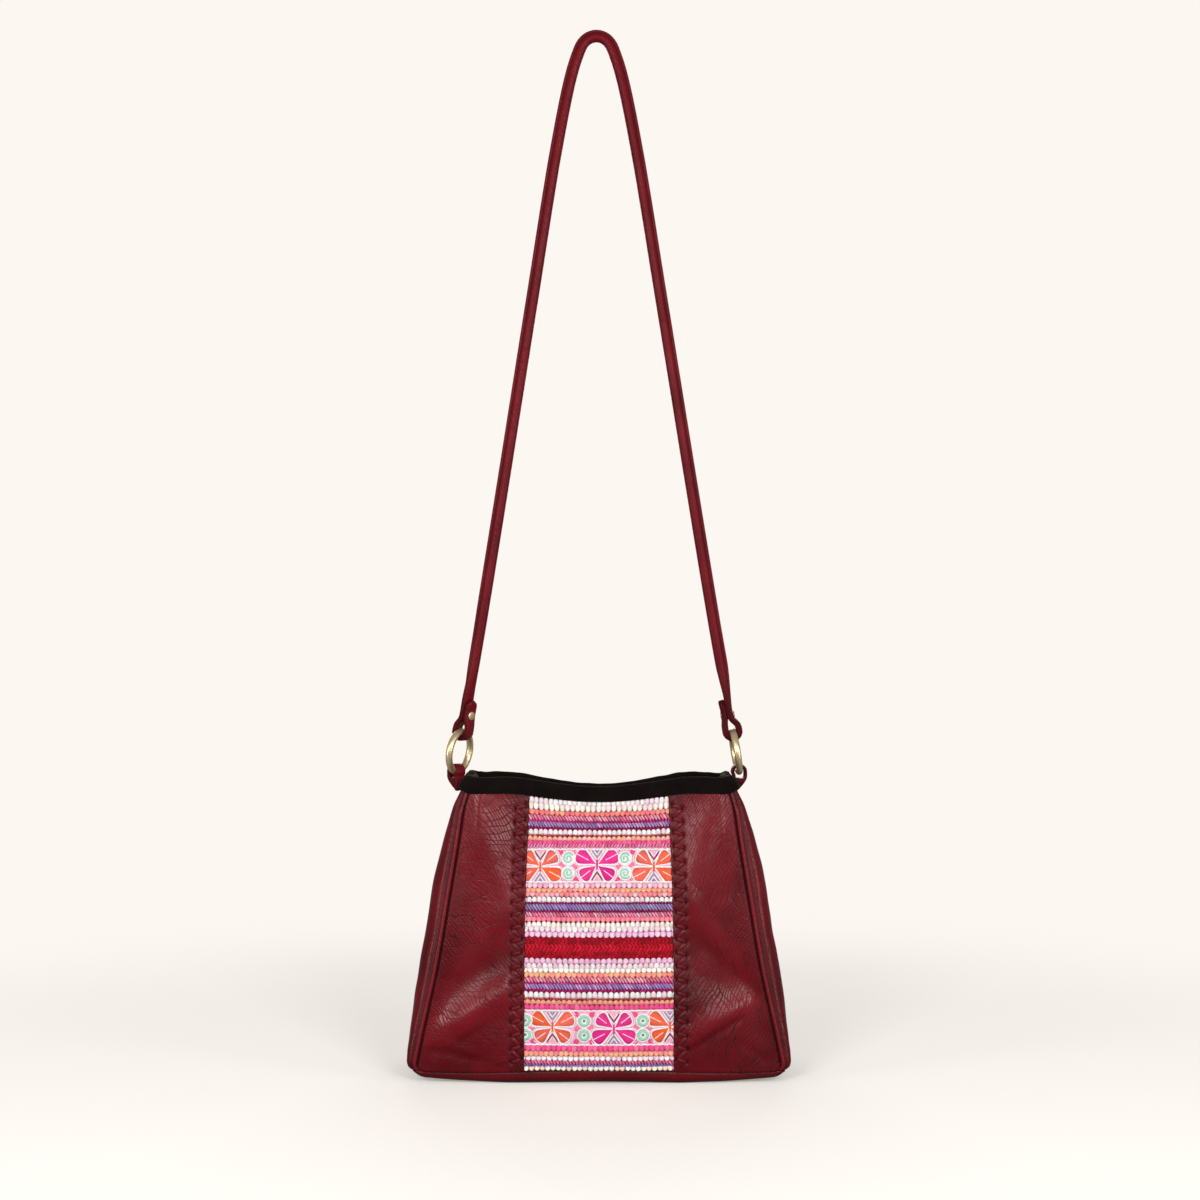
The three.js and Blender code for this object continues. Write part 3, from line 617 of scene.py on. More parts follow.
# Painted shade: darker over the laced strip, in the lacing holes and in the seam's groove.
LACED_SHADE, HOLE_SHADE, SEAM_SHADE = 0.3, 0.95, 0.85
# Painted highlight: lighter on the crests of the folds.
FOLD_HIGHLIGHT = 0.25
STRIP_CALM, SEAM_CALM, BACK_CALM = 12.0, 8.0, 14.0  # the waves die away over these distances
SKIVED_FROM, SKIVED_TO = 5.0, 10.0
LEAST_WALL = 0.7


def corner_middle():
    angle = lerp(-math.pi / 2, CORNER_LEAN, 0.5)
    return CORNER_Z + CORNER_RADIUS * math.sin(angle)


def side_edge(share):
    z = lerp(corner_middle(), leather_top(SEAM_X_AT_RIM), share)
    rise = np.clip((z - CORNER_Z) / CORNER_RADIUS, -1, 1)
    seam = np.where(z < CORNER_TOP, CORNER_X + CORNER_RADIUS * np.sqrt(1 - rise * rise), seam_x(z))
    return seam + SEAM_LAP, z


def bottom_height(x):
    reach = np.maximum(np.abs(x) - CORNER_X, 0)
    corner = CORNER_Z - np.sqrt(np.maximum(CORNER_RADIUS ** 2 - reach ** 2, 0))
    return np.where(reach > 0, corner, roll_height(x)) - SEAM_LAP


def strip_edge(share, clear=0.0):
    z = lerp(bottom_height(strip_x(0.0)), leather_top(strip_x(RIM_HEIGHT)), share)
    return strip_x(z) + clear, z


def mirrored(edge):
    return lambda share: (-edge(share)[0], edge(share)[1])


def panel_grid(left, right, up, across):
    """x and z of a grid between two upright edges, with the base line and the rim as its other edges."""
    up, across = up[:, None], across[None, :]
    (left_x0, left_z0), (left_x1, left_z1) = left(0.0), left(1.0)
    (right_x0, right_z0), (right_x1, right_z1) = right(0.0), right(1.0)
    bottom_x = lerp(left_x0, right_x0, across)
    top_x = lerp(left_x1, right_x1, across)
    left_x, left_z = left(up)
    right_x, right_z = right(up)
    bow_x = lerp(left_x - lerp(left_x0, left_x1, up), right_x - lerp(right_x0, right_x1, up), across)
    bow_z = lerp(left_z - lerp(left_z0, left_z1, up), right_z - lerp(right_z0, right_z1, up), across)
    x = lerp(bottom_x, top_x, up) + bow_x
    z = lerp(bottom_height(bottom_x), leather_top(top_x), up) + bow_z
    return x, z


def lacing_holes():
    """Places of the outer and inner lacing holes of the right side, as x and z."""
    z = LACE_FROM + LACE_PITCH * np.arange(LACE_COUNT)
    outer = np.stack([strip_x(z) + LACE_OUTER, z], axis=-1)
    inner_z = z + LACE_RISE
    inner = np.stack([strip_x(inner_z) + LACE_INNER, inner_z], axis=-1)
    return outer, inner


def edge_lift(from_strip):
    """The laced edge stands up from the cloth that is sewn under it."""
    return EDGE_LIFT * (1 - smoothstep(from_strip, EDGE_LIFT_FROM, EDGE_LIFT_TO))


def lighten_darken_colours(lightened, darkened):
    return np.stack([lightened, darkened, np.zeros_like(darkened)], axis=-1)


def lighten_darken_layer(lightened, darkened):
    """Colours of a wall's painted highlight and painted shade: lightened and darkened on its outer grid,
    plain on its inner one.
    """
    outer = lighten_darken_colours(lightened, darkened).reshape(-1, 3)
    return np.concatenate([np.clip(outer, 0, 1), np.zeros_like(outer)])


def front_side(name):
    side = SIDES[name]
    node = f"front_{name}"
    rows = np.linspace(0, 1, SIDE_ROWS)
    x, z = panel_grid(lambda t: strip_edge(t, EDGE_CLEAR), side_edge, rows, SIDE_COLUMNS)
    wave = EDGE_WAVE * np.sin(2 * np.pi * z / LACE_PITCH)
    x = x + wave * (1 - smoothstep(x - strip_x(z), 0, EDGE_WAVE_REACH))
    from_strip = x - strip_x(z)
    from_side = seam_x(z) - x
    from_base = np.maximum(z - bottom_height(x), 0) + GAP
    from_seam = np.minimum(from_side, from_base)
    seam = np.maximum(near(from_side, SEAM_REACH), BASE_SEAM * near(from_base, SEAM_REACH))
    lift = edge_lift(from_strip)
    lift -= EDGE_ROUND_DROP * (1 - smoothstep(from_strip, 0, EDGE_ROUND)) ** 2
    lift -= SEAM_GROOVE * seam
    # Painted shade over the laced strip, in the lacing holes and along the seam's groove.
    darkened = LACED_SHADE * smoothstep(from_strip, 0.5, 2.5) * (1 - smoothstep(from_strip, 10, 13))
    for hole_x, hole_z in np.concatenate(lacing_holes()):
        hole = near(np.hypot(x - hole_x, z - hole_z), HOLE_REACH)
        lift -= HOLE_DENT * hole
        darkened = np.maximum(darkened, HOLE_SHADE * hole)
    darkened = np.maximum(darkened, SEAM_SHADE * seam)
    x = side * x
    # Painted highlight on the crests of the folds.
    lightened = FOLD_HIGHLIGHT * np.clip(fold_height(x, z), 0, 1)
    skin = on_panel(x, z, np.zeros_like(x))
    calm = smoothstep(from_strip, 0, STRIP_CALM) * smoothstep(from_seam, 0, SEAM_CALM)
    lift += calm * waves(skin, "front", side)
    skived = lerp(-EDGE_THICKNESS, -WALL, smoothstep(from_strip, SKIVED_FROM, SKIVED_TO))
    outer = on_panel(x, z, lift)
    inner = on_panel(x, z, np.minimum(skived, lift - LEAST_WALL))
    return wall_piece(f"{node}_leather", node, outer, inner, LEATHER if side < 0 else LEATHER_RIGHT, side < 0,
                      lighten_darken_layer(lightened, darkened))


def back_panel():
    x, z = panel_grid(mirrored(side_edge), side_edge, np.linspace(0, 1, 120), np.linspace(0, 1, 150))
    from_seam = np.minimum(seam_x(z) - np.abs(x), np.maximum(z - bottom_height(x), 0) + GAP)
    skin = on_panel(x, z, np.zeros_like(x), panel_depth, BACK)
    lift = smoothstep(from_seam, 0, BACK_CALM) * waves(skin, "back")
    lift -= SEAM_GROOVE * near(from_seam, SEAM_REACH)
    outer = on_panel(x, z, lift, panel_depth, BACK)
    inner = on_panel(x, z, lift - WALL, panel_depth, BACK)
    return wall_piece("back_leather", "back_panel", outer, inner, LEATHER, True)


# Gussets and base, one strip that runs round the seam
RIB_HEIGHT = 1.8
RIB_WIDTH = 3.6
RIB_END = 218.0
RIB_FADE = 10.0
RIB_REACH = 1.1 * RIB_WIDTH  # the strip's first columns lie this close to the seam
RIB_CALM = RIB_WIDTH + 8
RIB_GROOVE = 0.9  # the strip is drawn in beside the rib, at a distance and over a reach
RIB_GROOVE_AT, RIB_GROOVE_REACH = 0.7, 1.3
# Painted highlight along the rib's crest, painted shade in the groove beside it.
RIB_HIGHLIGHT, RIB_GROOVE_SHADE = 0.45, 0.5
PLEAT_PITCH, PLEAT_HEIGHT = 11.0, 0.8  # small pleats above the joint with the base
PLEAT_FROM, PLEAT_FADE = 14.0, 24.0
# Heights between which the gussets' soft waves come and go
WAVES_FROM, WAVES_FULL, WAVES_FADE, WAVES_END = 8.0, 30.0, 190.0, 212.0
BASE_ROLL = 13.0  # way across the soft roll along the base's edges
BASE_ROLL_HEIGHT = 1.5
JOINT_SHARE = 0.012  # of the corner, left open between gusset and base
JOINT_DRAW = {"gusset": 1.3, "base": 1.2}  # both are drawn in at their joint
# Painted shade along the seams of the gussets and the base.
SEAM_SHADE_REACH = 0.7
GUSSET_SEAM_SHADE, BASE_SEAM_SHADE = 0.8, 0.6
# Painted shade: the base is darker below its roll, which faces down, away from the lights.
UNDER_SHADE, UNDER_FROM, UNDER_TO = 0.4, 5.0, 10.0  # the base is darker below its roll
# Painted highlight along the top of the base's roll.
ROLL_HIGHLIGHT, ROLL_HIGHLIGHT_AT, ROLL_HIGHLIGHT_REACH = 0.3, 3.5, 1.8
ROLL_WAVES_AT, ROLL_WAVES_REACH, ROLL_SLACK = 9.0, 5.0, 0.15


def base_stations(x):
    z = roll_height(x)
    zero = np.zeros_like(x)
    return {"x": x, "z": z, "out_x": zero, "out_z": zero - 1, "swell": z, "dip": zero}


def corner_stations(share):
    angle = lerp(-math.pi / 2, CORNER_LEAN, share)
    out_x, out_z = np.cos(angle), np.sin(angle)
    bulge = lerp(ROLL_HEIGHT, float(swell(CORNER_TOP)), share)
    return {"x": CORNER_X + CORNER_RADIUS * out_x, "z": CORNER_Z + CORNER_RADIUS * out_z, "out_x": out_x,
            "out_z": out_z, "swell": bulge, "dip": np.zeros_like(share)}


def side_stations(z):
    lean = side_lean(z)
    return {"x": seam_x(z), "z": z, "out_x": np.cos(lean), "out_z": np.sin(lean), "swell": swell(z),
            "dip": dip(z)}


def joined(*parts):
    return {key: np.concatenate([part[key] for part in parts]) for key in parts[0]}


def flipped(stations):
    """The same stations on the left, in the opposite order."""
    turned = {key: value[::-1] for key, value in stations.items()}
    return {**turned, "x": -turned["x"], "out_x": -turned["out_x"]}


def strip_section(stations, rib_steps=12, arc_steps=8, flat_steps=24):
    """Across the strip at each station: place across (y) and out, outward direction, way from the seam."""
    radius = stations["swell"][:, None]
    depth = panel_depth(stations["x"], stations["z"])[:, None]
    arc = np.pi / 2 * radius
    rib = RIB_REACH * np.linspace(0, 1, rib_steps)[None, :]
    rest = lerp(RIB_REACH, arc, np.linspace(0, 1, arc_steps + 1)[None, 1:])
    way = np.concatenate([np.broadcast_to(rib, (len(radius), rib_steps)), rest], axis=1)
    angle = way / radius
    y = radius - depth - radius * np.cos(angle)
    flat_share = np.linspace(0, 1, flat_steps + 1)[None, 1:-1]
    flat_y = lerp(radius - depth, depth - radius, flat_share)
    flat = np.ones_like(flat_y)
    out = radius * np.sin(angle)
    section = {
        "y": np.concatenate([y, flat_y, -y[:, ::-1]], axis=1),
        "out": np.concatenate([out, flat * radius, out[:, ::-1]], axis=1),
        "normal_y": np.concatenate([-np.cos(angle), flat * 0, np.cos(angle)[:, ::-1]], axis=1),
        "normal_out": np.concatenate([np.sin(angle), flat, np.sin(angle)[:, ::-1]], axis=1),
        "way": np.concatenate([way, arc + np.abs(np.abs(flat_y) - (depth - radius)), way[:, ::-1]], axis=1),
    }
    section["out"] = section["out"] - stations["dip"][:, None] * cos_squared(section["y"] / depth)
    return section


def rib_lift(stations, section):
    """The raised bead along both seams."""
    fade = 1 - smoothstep(stations["z"][:, None], RIB_END - RIB_FADE, RIB_END)
    across = (section["way"] - RIB_WIDTH / 2) / (RIB_WIDTH / 2)
    return RIB_HEIGHT * fade * np.sqrt(np.maximum(1 - across ** 2, 0))


def strip_points(stations, section, side, lift):
    out = section["out"] + section["normal_out"] * lift
    y = section["y"] + section["normal_y"] * lift
    x = stations["x"][:, None] + stations["out_x"][:, None] * out
    z = stations["z"][:, None] + stations["out_z"][:, None] * out
    return np.stack([side * x, y, z], axis=-1)


def gusset(name):
    side = SIDES[name]
    node = f"gusset_{name}"
    top = float(leather_top(SEAM_X_AT_RIM))
    corner = corner_stations(np.linspace(0.5 + JOINT_SHARE, 1, 9)[:-1])
    stations = joined(corner, side_stations(np.linspace(CORNER_TOP, top, 150)))
    section = strip_section(stations)
    way = section["way"]
    z = stations["z"][:, None]
    from_joint = z - z[0]
    rib = rib_lift(stations, section)
    beside_rib = near(way - RIB_WIDTH - RIB_GROOVE_AT, RIB_GROOVE_REACH)
    pleats = PLEAT_HEIGHT * np.cos(2 * np.pi * section["y"] / PLEAT_PITCH)
    pleats = pleats * np.exp(-np.maximum(z - PLEAT_FROM, 0) / PLEAT_FADE) * smoothstep(from_joint, 1, 10)
    flat_points = strip_points(stations, section, side, np.zeros_like(way))
    soft = waves(flat_points, "gusset", side)
    soft *= smoothstep(z, WAVES_FROM, WAVES_FULL) * (1 - smoothstep(z, WAVES_FADE, WAVES_END))
    lift = rib - RIB_GROOVE * beside_rib + smoothstep(way, RIB_WIDTH, RIB_CALM) * (pleats + soft)
    lift -= JOINT_DRAW["gusset"] * near(from_joint, 3.0)
    # Painted highlight on the rib, painted shade in its groove and at the seam.
    lightened = RIB_HIGHLIGHT * rib / RIB_HEIGHT
    darkened = np.maximum(RIB_GROOVE_SHADE * beside_rib, GUSSET_SEAM_SHADE * near(way, SEAM_SHADE_REACH))
    outer = strip_points(stations, section, side, lift)
    inner = strip_points(stations, section, side, np.full_like(lift, -WALL))
    return wall_piece(f"{node}_leather", node, outer, inner, GUSSET_LEATHER, side > 0,
                      lighten_darken_layer(lightened, darkened))


def base():
    along = np.linspace(0, CORNER_X, 70)
    half = joined(base_stations(along), corner_stations(np.linspace(0, 0.5 - JOINT_SHARE, 9)[1:]))
    right = {key: value[1:] for key, value in half.items()}
    stations = joined(flipped(right), half)
    section = strip_section(stations)
    way = section["way"]
    lift = BASE_ROLL_HEIGHT * np.sin(np.pi * np.clip(way / BASE_ROLL, 0, 1)) ** 0.8
    from_joint = np.minimum(np.arange(len(lift)), np.arange(len(lift))[::-1])[:, None]
    lift -= JOINT_DRAW["base"] * near(from_joint, 2.5)
    flat_points = strip_points(stations, section, 1, np.zeros_like(lift))
    lift += near(way - ROLL_WAVES_AT, ROLL_WAVES_REACH) * (waves(flat_points, "base") - ROLL_SLACK)
    # Painted highlight along the roll's top, painted shade at the seam and below the roll.
    lightened = ROLL_HIGHLIGHT * near(way - ROLL_HIGHLIGHT_AT, ROLL_HIGHLIGHT_REACH)
    darkened = np.maximum(BASE_SEAM_SHADE * near(way, SEAM_SHADE_REACH),
                       UNDER_SHADE * smoothstep(way, UNDER_FROM, UNDER_TO))
    outer = strip_points(stations, section, 1, lift)
    outer[..., 2] = np.maximum(outer[..., 2], 0)
    inner = strip_points(stations, section, 1, np.full_like(lift, -WALL))
    return wall_piece("base_leather", "base_panel", outer, inner, BASE_LEATHER, True,
                      lighten_darken_layer(lightened, darkened))


# Suede binding round the mouth
WALL_SLOPE_DROP = 11.0
RIM_STEPS = 160
BAND_ROLL = 4.0  # height of its round top
BAND_SWELL = 0.9  # its face swells between hem and top, and its back does a little
BACK_SWELL = 0.5
HEM_DROP = 0.35  # the hems are rounded
BAND_END_FROM, BAND_END_TO = 70.0, 100.0  # its lumps grow towards its ends
END_LUMPS, BACK_LUMPS = 0.9, 0.6  # its top is uneven at its ends and behind
BACK_LUMPS_FULL = 6.0


def rim_line(drop):
    x = np.linspace(-1, 1, RIM_STEPS + 2)[1:-1] * SEAM_X_AT_RIM
    z = leather_top(x) - drop
    front = np.stack([x, -panel_depth(x, z), z], axis=-1)
    end = side_stations(np.array([float(leather_top(SEAM_X_AT_RIM)) - drop]))
    section = strip_section(end)
    right = strip_points(end, section, 1, np.zeros_like(section["y"]))[0]
    turn = np.array([-1, -1, 1])
    return np.concatenate([front, right, front * turn, right * turn])


def rim_section():
    """The binding's cross-section, out of the wall and up from its top edge."""
    outer = BAND_SLOT_GAP + BAND_WALL
    inner = -(WALL + outer)
    hem = outer - BAND_HEIGHT
    shoulder = outer - BAND_ROLL
    middle, half = (outer + inner) / 2, (outer - inner) / 2
    section = []
    for t in np.linspace(0.02, 1, 14):
        swelled = BAND_SWELL * math.sin(math.pi * t) ** 0.8 + 0.25 * math.exp(-((t - 0.97) / 0.1) ** 2)
        section.append((outer + swelled, lerp(hem, shoulder, t)))
    for a in np.linspace(0, math.pi, 15)[1:]:
        section.append((middle + half * math.cos(a), shoulder + BAND_ROLL * math.sin(a)))
    for t in np.linspace(0, 1, 9)[1:]:
        section.append((inner - BACK_SWELL * math.sin(math.pi * t), lerp(shoulder, hem, t)))
    slot_back, slot_front = inner + BAND_WALL, outer - BAND_WALL
    section += [(inner + BAND_WALL / 2, hem - HEM_DROP), (slot_back, hem), (slot_back, BAND_SLOT_GAP)]
    section += [(slot_front, BAND_SLOT_GAP), (slot_front, hem), (outer - BAND_WALL / 2, hem - HEM_DROP)]
    return np.array(section)


def rim_band():
    top, below = rim_line(0.0), rim_line(WALL_SLOPE_DROP)
    along = unit(np.roll(top, -1, axis=0) - np.roll(top, 1, axis=0))
    up = unit(top - below)
    out = unit(np.cross(along, up))
    section = rim_section()
    rings = top[:, None] + out[:, None] * section[:, 0, None] + up[:, None] * section[:, 1, None]
    visible = (section[:, 0] > BAND_SLOT_GAP + BAND_WALL * 0.9) | (section[:, 1] > 0)
    lumps = waves(rings, "binding")
    ends = smoothstep(np.abs(rings[..., 0]), BAND_END_FROM, BAND_END_TO)
    rings = rings + (lumps * visible * (1 + ends))[..., None] * out[:, None]
    uneven = END_LUMPS * ends + BACK_LUMPS * smoothstep(rings[..., 1], 0, BACK_LUMPS_FULL)
    crest_lump = uneven * waves(rings, "binding_top") * (section[:, 1] > -BAND_ROLL)
    rings = rings + crest_lump[..., None] * up[:, None]
    return loft_piece("rim_suede", "rim_band", rings, True, SUEDE)


# Rings, tabs, strap ends
def ring_frame(name):
    """A ring's place, the directions along the wire at its top and up the strap, and its strap end."""
    side = SIDES[name]
    low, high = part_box(f"ring_{name}")
    middle = (np.array(low + high) / 2 - BAG_ORIGIN) / MM
    up = np.array([-side * math.sin(STRAP_LEAN), 0, math.cos(STRAP_LEAN)])
    across = square_to(level_direction(RING_TURN[name]), up)
    wire_top = middle + RING_RADIUS * up
    return {"side": side, "turn": RING_TURN[name], "twist": FLAP_TWIST[name], "middle": middle, "up": up,
            "across": across, "wire_top": wire_top, "wire_height": wire_top[2],
            "wire_bottom": middle - RING_RADIUS * up, "end_thick": STRAP_END_THICK[name]}


def turned_frame(at, extra):
    """The across and out directions of leather that is turned further than the ring it hangs on."""
    across = square_to(level_direction(at["turn"] + extra), at["up"])
    return across, np.cross(across, at["up"]) * at["side"]


def ring(name, frames):
    at = frames[name]
    turn = full_turn(96)
    round_wire = full_turn(24)
    radial = np.cos(turn)[:, None] * at["across"] + np.sin(turn)[:, None] * at["up"]
    normal = np.cross(at["across"], at["up"])
    rings = (at["middle"] + RING_RADIUS * radial[:, None]
             + WIRE_RADIUS * (np.cos(round_wire)[None, :, None] * radial[:, None]
                              + np.sin(round_wire)[None, :, None] * normal))
    return loft_piece(f"brass_ring_{name}", f"ring_{name}", rings, True, BRASS)


def band_section(half_width, half_thickness, steps=5):
    """A flat band's cross-section with rounded edges: along the width and through the thickness."""
    angles = np.linspace(-math.pi / 2, math.pi / 2, steps)
    edge = half_width - half_thickness
    right = [(edge + half_thickness * math.cos(a), half_thickness * math.sin(a)) for a in angles]
    return np.array(right + [(-w, -t) for w, t in right])


def swept(path, width_dir, section):
    """Rings of a section swept along a path, its width along the given directions."""
    along = unit(np.gradient(path, axis=0))
    width = square_to(width_dir, along)
    through = np.cross(along, width)
    return path[:, None] + width[:, None] * section[..., 0, None] + through[:, None] * section[..., 1, None]


TAB_EDGE_STAIN, TAB_WEAR = 0.6, 0.15
EDGE_SHARPNESS = 8  # how closely the dark dye keeps to an edge


def edge_stain(section, half_width, count):
    """Finish of a band swept through a number of points: its dyed edges are darker."""
    darkened = np.tile(TAB_EDGE_STAIN * (np.abs(section[:, 0]) / half_width) ** EDGE_SHARPNESS, count)
    return lighten_darken_colours(TAB_WEAR * (1 - darkened), darkened)


def tab(name, frames):
    at = frames[name]
    face = float(seam_x(BAND_HEM) + swell(BAND_HEM) - dip(BAND_HEM)) + BAND_SLOT_GAP + BAND_WALL
    turn_room = TAB_WIDTH / 2 * abs(math.sin(at["turn"]))
    foot_in = face + 2 * GAP + turn_room - at["side"] * at["wire_bottom"][0]
    foot_up = TAB_FOOT_HEIGHT - at["wire_bottom"][2]
    radius = TAB_BORE_RADIUS + TAB_THICKNESS / 2
    angles = np.linspace(TAB_ARC_FROM, math.pi + TAB_LEG_FROM, 9)
    arc = [(radius * math.cos(a), radius * math.sin(a)) for a in angles]
    outer_leg = [(foot_in + 1.5 * TAB_THICKNESS, foot_up)]
    outer_leg += [(out * radius, down * foot_up) for out, down in TAB_OUTER_LEG]
    inner_leg = [(foot_in + 0.5 * TAB_THICKNESS, foot_up + rise) for rise in (TAB_FOOT_STRAIGHT, 0)]
    route = smooth_route(np.array(outer_leg + arc + inner_leg), TAB_STEP)
    share = np.linspace(0, 1, len(route))
    turn = at["turn"] + lerp(*TAB_TWIST[name], smoothstep(share, TAB_TWIST_FROM, TAB_TWIST_TO))
    out = np.stack([np.cos(turn), -np.sin(turn), np.zeros_like(turn)], axis=-1) * at["side"]
    path = at["wire_bottom"] + route[:, :1] * out + route[:, 1:] * UP
    section = band_section(TAB_WIDTH / 2, TAB_HALF)
    along = unit(np.gradient(path, axis=0))
    width = np.cross(out, UP)
    through = np.cross(along, width)
    hollow = at["wire_bottom"] + 0.5 * foot_in * out + 0.62 * foot_up * UP
    inward = np.sign(np.sum((hollow - path) * through, axis=-1))[:, None]
    closed_to = TAB_CLOSED_FROM + TAB_FILL_FADE
    closing = (share < TAB_OUTER_SHARE) * smoothstep(-route[:, 1], TAB_CLOSED_FROM, closed_to)
    fill = np.maximum(closing * (route[:, 0] - foot_in - TAB_FILL_ROOM), 0)[:, None]
    half = section[None, :, 1]
    thick = half + np.where(half * inward > 0, inward * fill, 0)
    rings = path[:, None] + width[:, None] * section[None, :, :1] + through[:, None] * thick[..., None]
    return loft_piece(f"tab_{name}_leather", f"tab_{name}", rings, False, STRAP_LEATHER,
                      edge_stain(section, TAB_WIDTH / 2, len(path)))


# The strap: its run by how far it lies below its top and from its middle, and its ends folded round the
# rings, as a way out from the wire's top and up.
STRAP_HALF = (3.8, 4.2)
STRAP_PLUMP = np.array([1.07, 1.18])
STRAP_END_WIDE = 5.9
STRAP_END_THICK = {"left": 2.15, "right": 2.6}
STRAP_END_SQUARE = 0.62  # below 1, its flat ends have squarer edges
STRAP_TIP_ROUND = 5.5
STRAP_TIP_THICK = 0.75
STRAP_SIDES = 38
STRAP_STEP = 2.0
# The strap's edges are dyed darker; painted shade in the groove beside its lip.
STRAP_EDGE_STAIN, STRAP_GROOVE_SHADE, STRAP_WEAR = 0.65, 0.8, 0.12
STRAP_RUN = [(0, 0), (1.6, 6), (6, 10.8), (16.6, 15.4), (36, 21), (93, 32.2), (209, 50.8), (362, 75),
             (470, 92.4)]
RUN_SPAN_AT_RING = 106.5
FOLDED_END = [(-5.2, 26), (-4.3, 18), (-4.4, 11), (-5.3, 5.5)]
STRAIGHT_END = [(4.8, 5), (1.0, 10.5), (0.1, 15.5), (0.3, 29)]
BEND_RADIUS = 5.5
BEND_DEGREES = np.linspace(170, 370, 9)
FLAT_REACH, ROLL_REACH, TURN_REACH = 18.0, 56.0, 160.0
# Half of the rolled section: its core, and its lip from the crest down into the groove beside it
CORE_WIDE, CORE_DEEP = 3.9, 3.35
LIP = [(0.0, 4.25), (0.7, 4.2), (1.2, 3.95), (1.35, 3.4), (1.3, 2.75), (1.05, 2.2)]
LIP_ROOT = 1.3
GROOVE_WITHIN, GROOVE_LOW, GROOVE_HIGH = 1.25, 2.0, 3.0  # the groove's place in the plump section
RIVET_PLACE = 13.5
RIVET_GRIP = 2.15  # the leather that the rivet presses together, each side of its fold
RIVET_HEAD, RIVET_DOME = 3.4, 0.6
RIVET_SHANK = 1.5
RIVET_BACK = [(2.8, -0.15), (3.0, 0.15), (2.2, 0.4), (0.05, 0.45)]


def strap_side(at):
    bend = [(BEND_RADIUS * math.cos(a), BEND_RADIUS * math.sin(a)) for a in np.radians(BEND_DEGREES)]
    route = np.array(FOLDED_END + bend + STRAIGHT_END)
    _, out = turned_frame(at, at["twist"] * smoothstep(route[:, 1], FLAP_TWIST_FROM, FLAP_TWIST_TO))
    end = at["wire_top"] + route[:, :1] * out + route[:, 1:] * at["up"]
    top = HANG_HEIGHT + STRAP_HALF[1]
    widen = abs(at["wire_top"][0]) / RUN_SPAN_AT_RING
    run = []
    for drop, span in reversed(STRAP_RUN):
        drift = BAG_SHIFT * (1 - drop / (top - at["wire_height"]))
        run.append((at["side"] * span * widen - drift, 0, top - drop))
    return np.concatenate([end, np.array(run)])


def smooth_route(knots, step):
    """Points along a centripetal Catmull-Rom curve through the knots, about a step apart."""
    before = 2 * knots[0] - knots[1]
    after = 2 * knots[-1] - knots[-2]
    p = np.concatenate([[before], knots, [after]])
    line = []
    for i in range(1, len(p) - 2):
        move = [p[i + k] - p[i + k - 1] for k in (0, 1, 2)]
        gap = [max(np.linalg.norm(part) ** 0.5, 1e-4) for part in move]
        start = move[0] / gap[0] - (move[0] + move[1]) / (gap[0] + gap[1]) + move[1] / gap[1]
        end = move[1] / gap[1] - (move[1] + move[2]) / (gap[1] + gap[2]) + move[2] / gap[2]
        count = max(int(np.linalg.norm(move[1]) / step), 1)
        for t in np.arange(count) / count:
            ease = t * t * (3 - 2 * t)
            lead = t * (1 - t) ** 2 * gap[1] * start
            trail = t * t * (1 - t) * gap[1] * end
            line.append(p[i] + move[1] * ease + lead - trail)
    return np.array(line + [knots[-1]])


def rolled_section():
    """The rolled strap: a rounded core and, on its outer side, a lip where its edges are sewn together."""
    core_out = CORE_DEEP - STRAP_HALF[1]
    arc = np.linspace(math.asin(LIP_ROOT / CORE_WIDE), math.pi, STRAP_SIDES // 2 - len(LIP) + 1)
    core = [(CORE_WIDE * math.sin(a), core_out + CORE_DEEP * math.cos(a)) for a in arc[:-1]]
    half = LIP + core
    bottom = [(0.0, core_out - CORE_DEEP)]
    other = [(-w, o) for w, o in reversed(half[1:])]
    return np.array(half + bottom + other)


